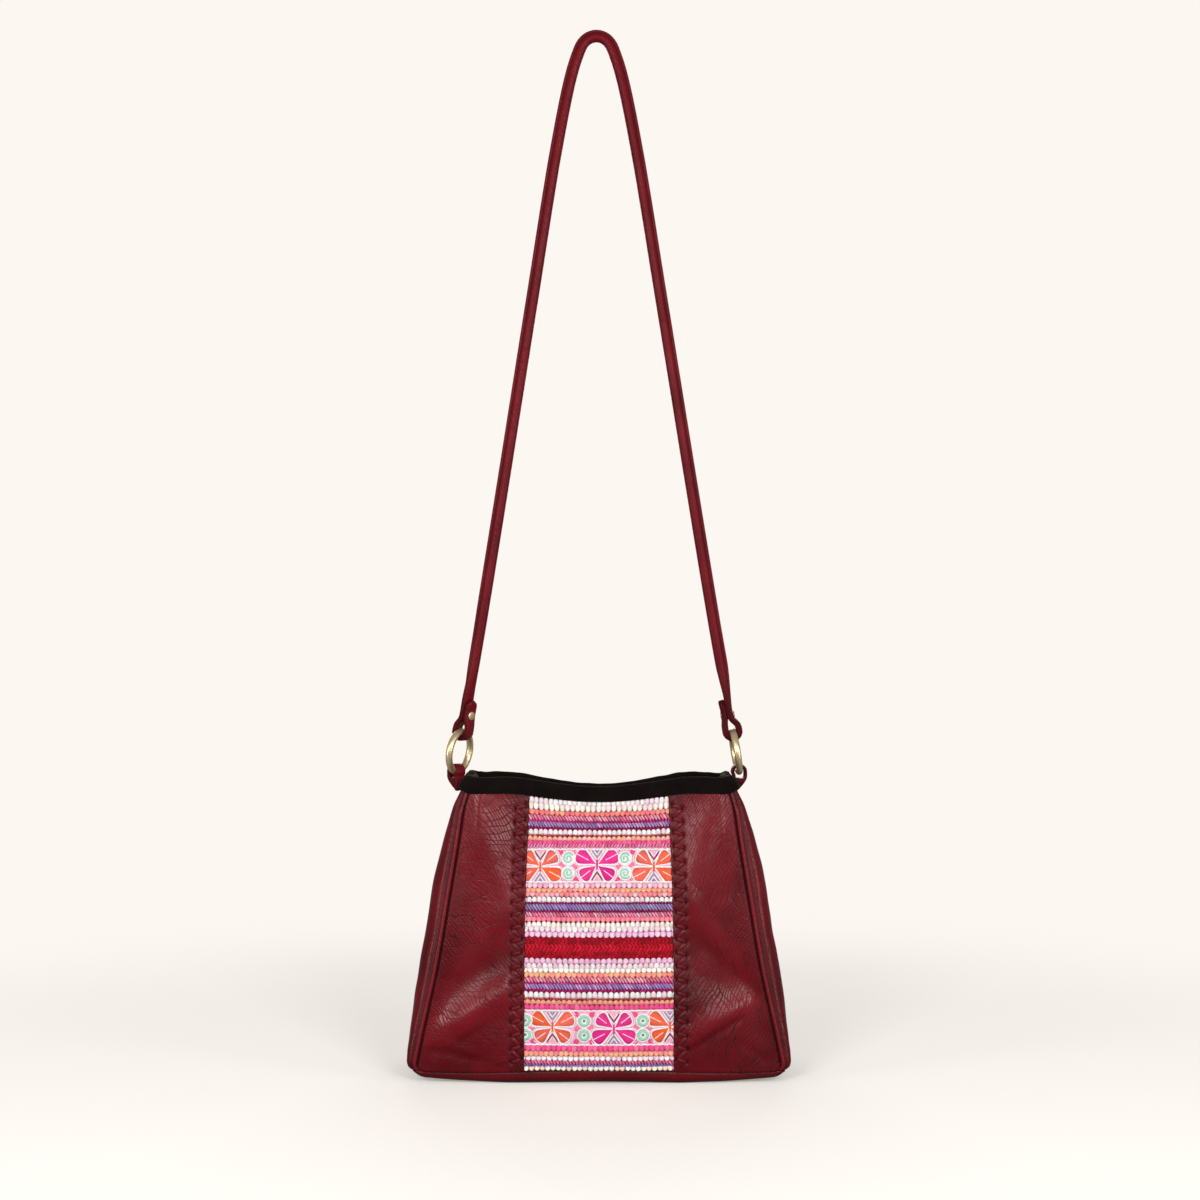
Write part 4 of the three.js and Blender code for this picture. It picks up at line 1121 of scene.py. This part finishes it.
def strap(frames):
    left, right = strap_side(frames["left"]), strap_side(frames["right"])
    line = smooth_route(np.concatenate([left, right[::-1][1:]]), STRAP_STEP)
    on_left = line[:, 0] < -BAG_SHIFT

    def at_end(key):
        return np.where(on_left, frames["left"][key], frames["right"][key])

    section = STRAP_PLUMP * rolled_section()
    angle = np.arctan2(section[:, 0] / STRAP_HALF[0], section[:, 1] / STRAP_HALF[1])
    full = np.stack([np.sin(angle), np.cos(angle)], axis=-1)
    flat = np.sign(full) * np.abs(full) ** STRAP_END_SQUARE
    end_thick = at_end("end_thick")
    end_half = np.stack([np.full_like(end_thick, STRAP_END_WIDE), end_thick], axis=-1)
    above = line[:, 2] - at_end("wire_height")
    rolled = smoothstep(above, FLAT_REACH, ROLL_REACH)[:, None, None]
    turn = at_end("turn") + at_end("twist") * smoothstep(above, FLAP_TWIST_FROM, FLAP_TWIST_TO)
    turn = turn * (1 - smoothstep(above, FLAT_REACH, TURN_REACH))
    along = unit(np.gradient(line, axis=0))
    across = square_to(level_direction(turn), along)
    out = np.cross(along, across)
    shape = lerp(flat[None] * end_half[:, None], section[None], rolled)
    way = np.concatenate([[0], np.cumsum(np.linalg.norm(np.diff(line, axis=0), axis=1))])
    from_tip = np.clip(np.minimum(way, way[-1] - way) / STRAP_TIP_ROUND, 0, 1)
    rounded = np.sqrt(np.clip(1 - (1 - from_tip) ** 2, 0.02, 1))
    shape = shape * np.stack([rounded, lerp(STRAP_TIP_THICK, 1, rounded)], axis=-1)[:, None]
    rings = line[:, None] + across[:, None] * shape[..., :1] + out[:, None] * shape[..., 1:]
    edges = STRAP_EDGE_STAIN * np.abs(flat[:, 0]) ** EDGE_SHARPNESS
    # Painted shade in the groove beside the lip.
    groove = np.abs(section[:, 0]) < GROOVE_WITHIN
    groove &= (section[:, 1] > GROOVE_LOW) & (section[:, 1] < GROOVE_HIGH)
    darkened = lerp(edges[None], STRAP_GROOVE_SHADE * groove[None], rolled[..., 0]).ravel()
    return loft_piece("strap_leather", "strap", rings, False, STRAP_LEATHER,
                      lighten_darken_colours(STRAP_WEAR * (1 - darkened), darkened))


def rivet(name, frames):
    at = frames[name]
    reach = RIVET_GRIP + GAP
    cap, back = FOLDED_END[2][0] - reach, STRAIGHT_END[1][0] + reach
    profile = []
    for a in np.linspace(0.02, math.pi / 2 - 0.02, 9):
        profile.append((RIVET_HEAD * math.sin(a), cap - RIVET_DOME * math.cos(a) ** 0.9))
    profile += [(RIVET_HEAD, cap + 0.2), (RIVET_SHANK, cap + 0.25), (RIVET_SHANK, back - 0.2)]
    profile += [(radius, back + along) for radius, along in RIVET_BACK]
    turn = full_turn(32)
    middle = at["wire_top"] + RIVET_PLACE * at["up"]
    across, out = turned_frame(at, at["twist"])
    radial = np.cos(turn)[:, None] * across + np.sin(turn)[:, None] * at["up"]
    rings = np.array([middle + along * out + radius * radial for radius, along in profile])
    return loft_piece(f"brass_rivet_{name}", f"rivet_{name}", rings, False, BRASS)


# Lacing: a flat leather thong that zigzags between the two rows of holes
LACE_SUNK = 1.7  # it starts this far down in its hole
LACE_ARCH = 2.25
LACE_OVER = 0.4  # the level runs lie over the slanting ones
# The thong is darker towards its edges, with painted shade where it sinks into its holes and a painted
# highlight over the rest.
LACE_EDGE_DARKENING, LACE_HOLE_SHADE, LACE_HIGHLIGHT = 0.75, 0.9, 0.4


def lacing(name):
    side = SIDES[name]
    outer, inner = lacing_holes()
    runs = [(outer[i], inner[i]) for i in range(LACE_COUNT)]
    runs += [(inner[i], outer[i + 1]) for i in range(LACE_COUNT - 1)]
    t = np.linspace(0, 1, 13)[:, None]
    section = band_section(*LACE_HALF)
    # Darker towards its edges; painted shade at its ends in the holes; painted highlight over the rest.
    edges = LACE_EDGE_DARKENING * (np.abs(section[:, 0]) / LACE_HALF[0]) ** 3
    sunk_shade = LACE_HOLE_SHADE * (1 - np.sin(np.pi * t) ** 0.6)
    darkened = np.clip(np.maximum(edges[None, :], sunk_shade), 0, 1).ravel()
    lighten_darken = lighten_darken_colours(LACE_HIGHLIGHT * (1 - darkened), darkened)
    thong = Bundle()
    for k, (start, end) in enumerate(runs):
        flat = lerp(start, end, t)
        rise = (LACE_ARCH + LACE_OVER * (k < LACE_COUNT)) * np.sin(np.pi * t[:, 0]) ** 0.42
        height = edge_lift(flat[:, 0] - strip_x(flat[:, 1])) - LACE_SUNK + rise
        path = on_panel(side * flat[:, 0], flat[:, 1], height)
        way = end - start
        aside = np.array([side * -way[1], 0, way[0]])
        thong.add(*loft_mesh(swept(path, aside, section), False), lighten_darken)
    return thong.piece(f"lacing_{name}", LACE_LEATHER, "leather", "lighten_darken")


# The textile strip: a woven ground, rows of folded points, and two bands of stitched motifs
CLOTH_LIFT = -1.25
CLOTH_THICKNESS = 0.7
CLOTH_LAP = 5.0  # the cloth reaches this far under the leather
STITCH_ROOM = 0.15  # between the stitches and the leather's edge
COLOURS = {
    "white": (0.88, 0.83, 0.83),
    "cream": (0.86, 0.82, 0.7),
    "blush": (0.88, 0.58, 0.68),
    "rose": (0.86, 0.4, 0.54),
    "orchid": (0.85, 0.46, 0.68),
    "pink": (0.86, 0.19, 0.33),
    "salmon": (0.87, 0.24, 0.26),
    "coral": (0.85, 0.17, 0.18),
    "peach": (0.88, 0.4, 0.23),
    "hot_pink": (0.82, 0.07, 0.25),
    "magenta": (0.55, 0.02, 0.19),
    "berry": (0.25, 0.015, 0.07),
    "lavender": (0.33, 0.22, 0.54),
    "violet": (0.24, 0.13, 0.42),
    "garnet": (0.22, 0.012, 0.035),
    "slate": (0.3, 0.31, 0.45),
    "red": (0.52, 0.004, 0.015),
    "crimson": (0.68, 0.01, 0.03),
    "oxblood": (0.25, 0.002, 0.007),
    "brick": (0.4, 0.045, 0.035),
    "orange": (0.8, 0.11, 0.03),
    "fuchsia": (0.72, 0.02, 0.24),
    "mint": (0.34, 0.62, 0.47),
    "leaf": (0.07, 0.24, 0.15),
}

# Rows of folded points from the top down: their upper and lower edge, colour, the colour that is mixed
# in, and which way they point.
ROWS = [
    (217.0, 212.4, "white", "blush", 1),
    (212.4, 207.4, "cream", "blush", -1),
    (207.4, 204.0, "coral", "peach", -1),
    (204.0, 200.6, "pink", "blush", -1),
    (200.6, 199.0, "magenta", "hot_pink", -1),
    (199.0, 195.4, "lavender", "orchid", -1),
    (195.4, 193.6, "berry", "magenta", 1),
    (193.6, 189.9, "white", "blush", 1),
    (189.9, 188.6, "brick", "coral", 1),
    (188.6, 186.0, "peach", "blush", 1),
    (186.0, 183.0, "hot_pink", "pink", 1),
    (183.0, 180.4, "pink", "orchid", 1),
    (153.6, 150.0, "blush", "pink", -1),
    (150.0, 146.8, "peach", "salmon", -1),
    (146.8, 143.4, "salmon", "blush", -1),
    (143.4, 139.4, "white", "blush", 1),
    (139.4, 137.8, "berry", "magenta", 1),
    (137.8, 133.2, "lavender", "slate", -1),
    (133.2, 131.8, "berry", "magenta", -1),
    (131.8, 128.2, "pink", "blush", -1),
    (128.2, 124.4, "salmon", "pink", -1),
    (124.4, 120.7, "cream", "white", 1),
    (120.7, 117.0, "blush", "white", -1),
    (117.0, 113.0, "orchid", "blush", -1),
    (113.0, 107.7, "red", "oxblood", -1),
    (107.7, 102.3, "red", "crimson", -1),
    (102.3, 97.0, "red", "oxblood", 1),
    (97.0, 93.1, "orchid", "blush", 1),
    (93.1, 89.3, "blush", "white", 1),
    (89.3, 86.2, "cream", "white", -1),
    (86.2, 82.6, "peach", "coral", -1),
    (82.6, 79.0, "pink", "blush", -1),
    (79.0, 77.8, "magenta", "hot_pink", -1),
    (77.8, 73.8, "lavender", "orchid", -1),
    (73.8, 71.8, "magenta", "berry", 1),
    (71.8, 67.0, "white", "blush", 1),
    (67.0, 65.4, "brick", "coral", 1),
    (65.4, 62.6, "peach", "salmon", 1),
    (62.6, 58.6, "hot_pink", "pink", 1),
    (30.2, 25.8, "hot_pink", "pink", -1),
    (25.8, 21.8, "peach", "salmon", -1),
    (21.8, 18.6, "white", "blush", -1),
    (18.6, 16.2, "pink", "hot_pink", -1),
    (16.2, 14.0, "violet", "lavender", -1),
    (14.0, 10.8, "cream", "peach", -1),
]
ROWS_MIDDLE = 105.0
ROW_SAG = 3.4  # at the top, over half the strip
ROW_SAG_HALF = 55.0
ROW_SAG_FROM, ROW_SAG_TO = 172.0, 214.0


def row_line(x, z):
    """The rows hang with the rim near the top of the strip and lie straight further down."""
    return z + ROW_SAG * smoothstep(z, ROW_SAG_FROM, ROW_SAG_TO) * (x / ROW_SAG_HALF) ** 2


def on_cloth(x, z, height):
    """Points that lie on the cloth at a height above it, kept between the leather edges."""
    z = row_line(x, z)
    edge = strip_x(z) - STITCH_ROOM
    return on_panel(np.clip(x, -edge, edge), z, CLOTH_LIFT + height)


def cloth():
    def edge(share):
        return strip_edge(share, CLOTH_LAP)

    x, z = panel_grid(mirrored(edge), edge, np.linspace(0, 1, 90), np.linspace(0, 1, 50))
    lift = np.full_like(x, CLOTH_LIFT)
    points, faces, _ = wall_mesh(on_panel(x, z, lift), on_panel(x, z, lift - CLOTH_THICKNESS))
    # The ground is dark garnet: partly the cloth's own colour, partly painted shade in the notches between
    # the stitches.
    colours = np.broadcast_to(COLOURS["garnet"], (len(points), 3))
    return add_piece("embroidered_cloth", points, faces, [THREAD], ["embroidered_panel"],
                     colours=colours, layer="thread")


# Soft points from base to tip: how far along, half the width and the height
POINT = np.array([(0.0, 0.9, 0.35), (0.3, 1.0, 0.8), (0.52, 1.0, 1.0), (0.7, 0.93, 1.0), (0.85, 0.74, 0.9),
                  (0.94, 0.5, 0.7), (0.985, 0.25, 0.45), (1.0, 0.04, 0.2)])
WING = np.array([(0.0, 0.05, 0.3), (0.18, 0.27, 0.7), (0.36, 0.54, 0.9), (0.54, 0.8, 1.0), (0.68, 0.96, 1.0),
                 (0.79, 1.0, 0.97), (0.88, 0.88, 0.9), (0.95, 0.62, 0.75), (0.99, 0.3, 0.5),
                 (1.0, 0.06, 0.3)])
PEAK = np.array([(0.0, 1.0, 0.5), (0.3, 1.0, 0.85), (0.55, 1.0, 1.0), (0.7, 0.84, 1.0), (0.84, 0.55, 0.9),
                 (0.94, 0.3, 0.7), (1.0, 0.08, 0.3)])
# Round a soft point: place across and height, and the painted shade and highlight on its dye: painted shade
# towards its edges, a painted highlight along its top
POINT_AROUND = np.array([(1, 0.0), (0.86, 0.55), (0.5, 0.92), (0.0, 1.0), (-0.5, 0.92), (-0.86, 0.55),
                         (-1, 0.0), (0, -0.25)])
POINT_SHADE = np.array([0.62, 0.82, 1.02, 1.1, 1.02, 0.82, 0.62, 0.6])
BRIGHTEST = 1.06
PALEST = 0.92
WAVER_SIZE = 14.0


def soft_point(base, direction, length, half_width, thickness, low, high, profile=POINT):
    """One soft point on the cloth, from a base (x, z) towards a direction, rising from low to high."""
    along = unit(np.array(direction))
    aside = aside_of(along)
    reach = profile[:, 0, None]
    flat = (np.array(base) + length * reach[..., None] * along
            + half_width * (profile[:, 1, None] * POINT_AROUND[:, 0])[..., None] * aside)
    height = lerp(low, high, reach) + thickness * profile[:, 2, None] * POINT_AROUND[:, 1]
    return loft_mesh(on_cloth(flat[..., 0], flat[..., 1], height), False)


def waver(x, seed):
    """A slow hand-made unevenness along a row."""
    return noise.noise(Vector((x / WAVER_SIZE, seed * 1.7, 0.5)))


def point_dye(colour, mixed, share, profile=POINT, darkest=0.88):
    """Colours of a soft point's vertices: two dyes mixed by a share, with painted shade towards its edges and
    a painted highlight along its top.
    """
    dye = lerp(np.array(COLOURS[colour]), np.array(COLOURS[mixed]), share)
    shade = np.tile(POINT_SHADE, len(profile))[:, None]
    return np.clip(dye * shade * rng.uniform(darkest, BRIGHTEST), 0, PALEST)


# Kinds of row: how far apart its stitches lie, their half width over the pitch, how much longer they are
# than the row is tall, how far they start under the row before, how much they lean, and how their dyes vary.
STITCH = {"under": 0.3, "lean": 0.0, "profile": POINT, "spread": 0.3, "most": 0.9, "darkest": 0.88}
ROW_KINDS = {
    "bead": {**STITCH, "pitch": 4.3, "half": 0.52, "lap": 0.5},
    "scallop": {**STITCH, "pitch": 4.0, "half": 0.52, "lap": 0.4},
    "peak": {**STITCH, "pitch": 3.9, "half": 0.56, "lap": 0.7, "under": 0.4, "profile": PEAK},
    "rope": {**STITCH, "pitch": 2.4, "half": 0.37, "lap": 0.5, "lean": 0.7, "spread": 0.45, "most": 0.5,
             "darkest": 0.66},
}
KIND_OF_COLOUR = {"white": "scallop", "cream": "scallop", "blush": "bead", "orchid": "bead", "peach": "peak",
                  "coral": "peak", "salmon": "peak", "hot_pink": "peak"}
RED_STITCH = {"pitch": 3.0, "tall": 2.65, "lap": 0.5, "under": 0.4, "lean": 0.85, "half": 1.02}
STITCH_THICKNESS = 0.8


def stitched_row(stitching, top, bottom, colour, mixed, points_up):
    kind = ROW_KINDS[KIND_OF_COLOUR.get(colour, "rope")]
    tall = top - bottom
    half_strip = float(strip_x((top + bottom) / 2))
    count = round(2 * half_strip / (kind["pitch"] * rng.uniform(0.95, 1.05)))
    pitch = 2 * half_strip / count
    half_width = pitch * kind["half"]
    shift = rng.uniform(0.1, 0.9)
    base_z = bottom if points_up > 0 else top
    for k in range(-1, count + 1):
        x = -half_strip + pitch * (k + shift) + rng.uniform(-0.12, 0.12)
        lean = kind["lean"] + rng.uniform(-0.06, 0.06)
        length = (tall + kind["lap"] + rng.uniform(-0.15, 0.2)) * math.hypot(1, lean)
        base = (x, base_z - points_up * kind["under"] + 0.4 * waver(x, top))
        body = soft_point(base, (lean, points_up), length, half_width, STITCH_THICKNESS, 0.0, 0.95,
                          kind["profile"])
        stray = rng.uniform(-kind["spread"], kind["spread"])
        share = np.clip(0.25 + 0.8 * waver(x * 2.5, bottom) + stray, 0, kind["most"])
        stitching.add(*body, point_dye(colour, mixed, share, kind["profile"], kind["darkest"]))


def herringbone(stitching, top, bottom, colour, mixed):
    """Narrow lines of slanted stitches that lean to and fro, as in the plain red band."""
    half_strip = float(strip_x((top + bottom) / 2))
    lines = round((top - bottom) / RED_STITCH["tall"])
    for line in range(lines):
        z = top - (line + 1) * (top - bottom) / lines
        lean = RED_STITCH["lean"] * (1 if line % 2 else -1)
        start = -half_strip - RED_STITCH["pitch"] * rng.uniform(0.2, 1.0)
        for x in np.arange(start, half_strip + 1, RED_STITCH["pitch"]):
            base = (x + rng.uniform(-0.2, 0.2), z - RED_STITCH["under"] + 0.3 * waver(x, z))
            length = (RED_STITCH["tall"] + RED_STITCH["lap"]) * math.hypot(1, lean)
            body = soft_point(base, (lean, 1), length, RED_STITCH["half"], STITCH_THICKNESS, 0.1, 0.5)
            share = np.clip(0.4 + 0.9 * waver(x * 3, z) + rng.uniform(-0.4, 0.4), 0, 1)
            stitching.add(*body, point_dye(colour, mixed, share))


def embroidered_rows(name, rows):
    stitching = Bundle()
    for top, bottom, colour, mixed, points_up in rows:
        if colour == "red":
            herringbone(stitching, top, bottom, colour, mixed)
        else:
            stitched_row(stitching, top, bottom, colour, mixed, points_up)
    return stitching.piece(name, THREAD, "textile", "thread")


# Stitched motifs
MOTIF_BANDS = {"upper": (179.9, 153.9), "lower": (58.2, 30.5)}


def cord(stitching, route, colour, radius, height, closed=False):
    """A couched cord along a route of (x, z) points."""
    route = np.array(route)
    if closed:
        along = np.roll(route, -1, axis=0) - np.roll(route, 1, axis=0)
    else:
        along = np.gradient(route, axis=0)
    along = unit(along)
    angles = full_turn(8)
    flat = route[:, None] + radius * np.cos(angles)[None, :, None] * aside_of(along)[:, None]
    lift = height + min(0.75 * radius, 0.6) * np.sin(angles)[None, :] + np.zeros((len(route), 1))
    stitching.add(*loft_mesh(on_cloth(flat[..., 0], flat[..., 1], lift), closed), COLOURS[colour])


def around(x, z, radius, angles=full_turn(28)):
    """A route round a middle: a circle, or a coil where the radius changes with the angle."""
    return np.stack([x + radius * np.cos(angles), z + radius * np.sin(angles)], axis=-1)


def wing_outline(base, direction, length, half_width):
    """A wing's outline, from its base round its tip and back."""
    along = unit(np.array(direction))
    aside = aside_of(along)
    fine = np.linspace(0, 1, 22) ** 0.8
    width = np.interp(fine, WING[:, 0], WING[:, 1])
    there = length * fine[:, None] * along + half_width * width[:, None] * aside
    back = length * fine[:, None] * along - half_width * width[:, None] * aside
    return np.array(base) + np.concatenate([there, back[::-1]])


# Half of a butterfly: each wing's direction in degrees, length and half width
WINGS = [(27, 17.6, 5.9), (-37, 15.3, 5.4)]
WING_ROOT = (0.3, 0.7)  # how far aside of and above the butterfly's middle a wing starts
WING_RISE, BODY_RISE = (0.6, 0.3, 0.4), (0.7, 0.5, 0.5)  # thickness, and height of foot and tip
# Cords round each wing: how much longer and wider than the wing, and their radius
WING_ECHO = [(2.0, 1.5, 0.35), (0.5, 0.35, 0.5)]
VEIN_FROM = 0.42  # of the wing's length
ECHO_HEIGHT = 0.55
VEIN = (0.32, 0.85)  # radius of the cord and its height, as for the vees, coils and borders
BODY_FOOT, BODY_LENGTH, BODY_HALF = 4.6, 9.4, 0.95
# Cords in the notches between the wings: on the side of the large wings, and on the other side
VEES = {1: ("white", "slate", "white", "lavender"), -1: ("white", "berry", "white")}
VEE_FROM, VEE_STEP, VEE_TIP, VEE_SLOPE = 3.4, 2.0, 11.4, 0.7
VEE = (0.45, 0.6)


def butterfly(stitching, x, z, colour, lit, flip, lowest, highest):
    for degrees, length, half_width in WINGS:
        for mirror in (-1, 1):
            angle = math.radians(degrees)
            along = np.array([mirror * math.cos(angle), flip * math.sin(angle)])
            base = (x + mirror * WING_ROOT[0], z + WING_ROOT[1] * along[1])
            for longer, wider, radius in WING_ECHO:
                outline = wing_outline(base, along, length + longer, half_width + wider)
                outline[:, 1] = np.clip(outline[:, 1], lowest, highest)
                cord(stitching, outline, "white", radius, ECHO_HEIGHT)
            wing = soft_point(base, along, length, half_width, *WING_RISE, WING)
            stitching.add(*wing, point_dye(colour, lit, rng.uniform(0.0, 0.5), WING))
            vein = [np.array(base) + along * length * t for t in np.linspace(VEIN_FROM, 1.0, 9)]
            cord(stitching, vein, "white", *VEIN)
    body = soft_point((x, z - BODY_FOOT * flip), (0, flip), BODY_LENGTH, BODY_HALF, *BODY_RISE)
    stitching.add(*body, COLOURS[colour])
    for way, dyes in VEES.items():
        for step, dye in enumerate(dyes):
            foot = VEE_FROM + VEE_STEP * step
            reach = (VEE_TIP - foot) * np.linspace(-1, 1, 13)
            vee = np.stack([x + VEE_SLOPE * reach, z + way * flip * (foot + np.abs(reach))], axis=-1)
            cord(stitching, vee, dye, *VEE)


# A figure eight's two rings: their distance from its middle, and their cords from the ground up, by radius,
# colour, radius of the cord and height. Where it is coiled, one coil stands for the inner cords.
EIGHT_HALF = 5.5
EIGHT_OUTER = [(2.4, "white", 2.6, 0.3), (5.2, "white", 0.5, 0.75)]
EIGHT_INNER = [(3.2, "mint", 1.15, 0.8), (0.7, "leaf", 0.4, 0.8)]
COIL_TURNS, COIL_START = 1.6, 0.6
COIL_FROM, COIL_TO = 4.1, 0.8
COIL = (0.75, 0.8)
WAIST_AT, CORNER_AT = (7.2, 0.0), (6.6, 12.4)  # pink points beside it, from its middle
WAIST = (4.6, 2.6, 0.5, 0.2, 0.4)  # length, half width, thickness, and height of its foot and tip
CORNER = (4.2, 2.0, 0.5, 0.2, 0.4)
CORNER_SLANT = 0.3


def figure_eight(stitching, x, z, coiled):
    for turn in (1, -1):
        centre = z + turn * EIGHT_HALF
        for radius, colour, thick, height in EIGHT_OUTER + ([] if coiled else EIGHT_INNER):
            cord(stitching, around(x, centre, radius), colour, thick, height, closed=True)
        if coiled:
            t = np.linspace(0, 1, 40)
            angles = turn * (2 * np.pi * COIL_TURNS * t + COIL_START)
            cord(stitching, around(x, centre, lerp(COIL_FROM, COIL_TO, t), angles), "mint", *COIL)
    for mirror in (-1, 1):
        waist = soft_point((x + mirror * WAIST_AT[0], z + WAIST_AT[1]), (-mirror, 0), *WAIST)
        stitching.add(*waist, COLOURS["pink"])
        for flip in (-1, 1):
            foot = (x + mirror * CORNER_AT[0], z + flip * CORNER_AT[1])
            corner = soft_point(foot, (-mirror * CORNER_SLANT, -flip), *CORNER)
            stitching.add(*corner, COLOURS["hot_pink"])


LIT = {"orange": "coral", "fuchsia": "hot_pink"}  # the lighter thread in each butterfly
# Motifs of each band from the left: the middle of a figure eight, or a butterfly's middle, its colour, and
# which way its large wings point.
MOTIFS = {
    "upper": [(-46, "orange", -1), (-24,), (-1.5, "fuchsia", 1), (20.5,), (43, "orange", -1)],
    "lower": [(-57,), (-36, "orange", 1), (-11.5,), (11.5, "fuchsia", -1), (34,), (55, "orange", 1)],
}
GROUND_HEIGHT, GROUND_UNDER = 0.25, 0.02  # upper and lower side of the stitched ground
BORDER_INSET = 0.7
WING_INSET = 0.9
BORDER = (0.6, 0.8)


def motif_band(name):
    top, bottom = MOTIF_BANDS[name]
    stitching = Bundle()
    middle = (top + bottom) / 2
    half_strip = float(strip_x(middle))
    x, z = np.meshgrid(np.linspace(-half_strip, half_strip, 60), np.linspace(bottom - 1, top + 1, 16))
    height = GROUND_HEIGHT + waves(np.stack([x, z * 0, z], axis=-1), "ground")
    points, faces, _ = wall_mesh(on_cloth(x, z, height), on_cloth(x, z, np.full_like(x, GROUND_UNDER)))
    stitching.add(points, turned_out(points, faces.tolist()), COLOURS["rose"])
    for edge in (top - BORDER_INSET, bottom + BORDER_INSET):
        line = np.linspace(-half_strip, half_strip, 90)
        cord(stitching, np.stack([line, edge + 0.3 * np.sin(line * 1.3)], axis=-1), "white", *BORDER)
    for at, *look in MOTIFS[name]:
        if look:
            colour, flip = look
            butterfly(stitching, at, middle + flip * 0.6, colour, LIT[colour], flip, bottom + WING_INSET,
                      top - WING_INSET)
        else:
            figure_eight(stitching, at, middle, name == "upper")
    return stitching.piece(f"motifs_{name}", THREAD, "textile", "thread")


# Floor, backdrop, lights and camera
BACKDROP = (0.973, 0.93, 0.88)
BACKDROP_RADIUS = 12.0
FLOOR_RINGS = np.array([0.0001, 0.5, 1.0, 2.0, 5.0])
FLOOR_GLOW = 0.335
FLOOR_DROP = -0.0002
FLOOR_FADE_FROM, FLOOR_FADE_TO = 0.35, 0.9
ROUND = full_turn(64)


def plain_glow(tree, colour):
    return put(tree, "Emission", {"Color": (*colour, 1), "Strength": 1.0}).outputs[0]


def stage_surface(name, rings, material, hidden_from):
    """A surface of the studio through rings of points, hidden from some kinds of rays."""
    mesh = bpy.data.meshes.new(name)
    mesh.from_pydata(rings.reshape(-1, 3).tolist(), [], grid_faces(*rings.shape[:2], closed=True).tolist())
    mesh.materials.append(material)
    made = bpy.data.objects.new(name, mesh)
    for ray in hidden_from:
        setattr(made, f"visible_{ray}", False)
    bpy.context.scene.collection.objects.link(made)


def level_rings(radii, heights):
    across = radii[:, None]
    return np.stack([across * np.cos(ROUND), across * np.sin(ROUND), heights[:, None] + 0 * ROUND], axis=-1)


def floor():
    """A pale floor that runs out into the backdrop's own tone far from the bag."""
    material, tree, shader, place = start_material(
        "floor_pale", Roughness=0.9, Specular_IOR_Level=0.0, Base_Color=(0.72, 0.69, 0.655, 1),
        Emission_Color=(*BACKDROP, 1), Emission_Strength=FLOOR_GLOW)
    away = put(tree, "VectorMath", {0: place, 1: tuple(BAG_ORIGIN)}, operation="DISTANCE").outputs["Value"]
    far = remapped(tree, away, FLOOR_FADE_FROM, FLOOR_FADE_TO, interpolation_type="SMOOTHSTEP")
    mixed = put(tree, "MixShader", {0: far, 1: shader.outputs[0], 2: plain_glow(tree, BACKDROP)})
    feed(tree, tree.nodes["Material Output"], Surface=mixed.outputs[0])
    rings = level_rings(FLOOR_RINGS, np.full_like(FLOOR_RINGS, FLOOR_DROP)) + BAG_ORIGIN
    stage_surface("floor", rings, material, ("diffuse", "glossy"))


def backdrop():
    """An even pale surround that only the camera sees."""
    material, tree, _, _ = start_material("backdrop_pale")
    feed(tree, tree.nodes["Material Output"], Surface=plain_glow(tree, BACKDROP))
    steps = np.linspace(0.001, math.pi - 0.001, 33)
    rings = BACKDROP_RADIUS * level_rings(np.sin(steps), np.cos(steps))
    stage_surface("backdrop", rings, material,
                  ("diffuse", "glossy", "transmission", "shadow", "volume_scatter"))


# Softboxes, aimed at the bag's body: place, size and power
SOFTBOXES = {
    "key_left": ((-0.66, -1.65, 0.03), (0.62, 0.46), 16),
    "key_right": ((0.66, -1.65, 0.03), (0.62, 0.46), 16),
    "left": ((-1.6, -0.9, -0.45), (0.5, 1.0), 11),
    "right": ((1.6, -0.9, -0.45), (0.5, 1.0), 11),
    "back": ((0.0, 1.9, 0.0), (2.0, 0.7), 20),
}
LIT_PLACE = BAG_ORIGIN + np.array([0, 0, 0.12])
CAMERA_PLACE = BAG_ORIGIN + np.array([0.0008, -1.6, 0.3751])
LENS, SENSOR = 60, 36


def softbox(name, place, size, watts):
    data = bpy.data.lights.new(name, "AREA")
    data.shape = "RECTANGLE"
    data.size, data.size_y = size
    data.energy = watts
    made = bpy.data.objects.new(name, data)
    made.location = place
    made.rotation_euler = (Vector(LIT_PLACE) - Vector(place)).to_track_quat("-Z", "Y").to_euler()
    bpy.context.scene.collection.objects.link(made)


def studio():
    scene = bpy.context.scene
    scene.view_settings.view_transform = "Standard"
    world = bpy.data.worlds.new("studio")
    world.use_nodes = True
    background = world.node_tree.nodes["Background"]
    background.inputs["Color"].default_value = (1.0, 0.98, 0.95, 1)
    background.inputs["Strength"].default_value = 0.25
    scene.world = world
    for name, look in SOFTBOXES.items():
        softbox(name, *look)


def camera():
    data = bpy.data.cameras.new("camera")
    data.lens = LENS
    data.sensor_width = SENSOR
    made = bpy.data.objects.new("camera", data)
    made.location = CAMERA_PLACE
    made.rotation_euler = (math.pi / 2, 0, 0)
    bpy.context.scene.collection.objects.link(made)
    bpy.context.scene.camera = made


camera()
studio()
floor()
backdrop()
ring_frames = {name: ring_frame(name) for name in SIDES}
for side_name in SIDES:
    front_side(side_name)
    gusset(side_name)
    ring(side_name, ring_frames)
    tab(side_name, ring_frames)
    rivet(side_name, ring_frames)
    lacing(side_name)
back_panel()
base()
rim_band()
strap(ring_frames)
textile = cloth()
upper_rows = embroidered_rows("rows_upper", [row for row in ROWS if row[1] > ROWS_MIDDLE])
lower_rows = embroidered_rows("rows_lower", [row for row in ROWS if row[1] <= ROWS_MIDDLE])
motifs = [motif_band(name) for name in MOTIF_BANDS]
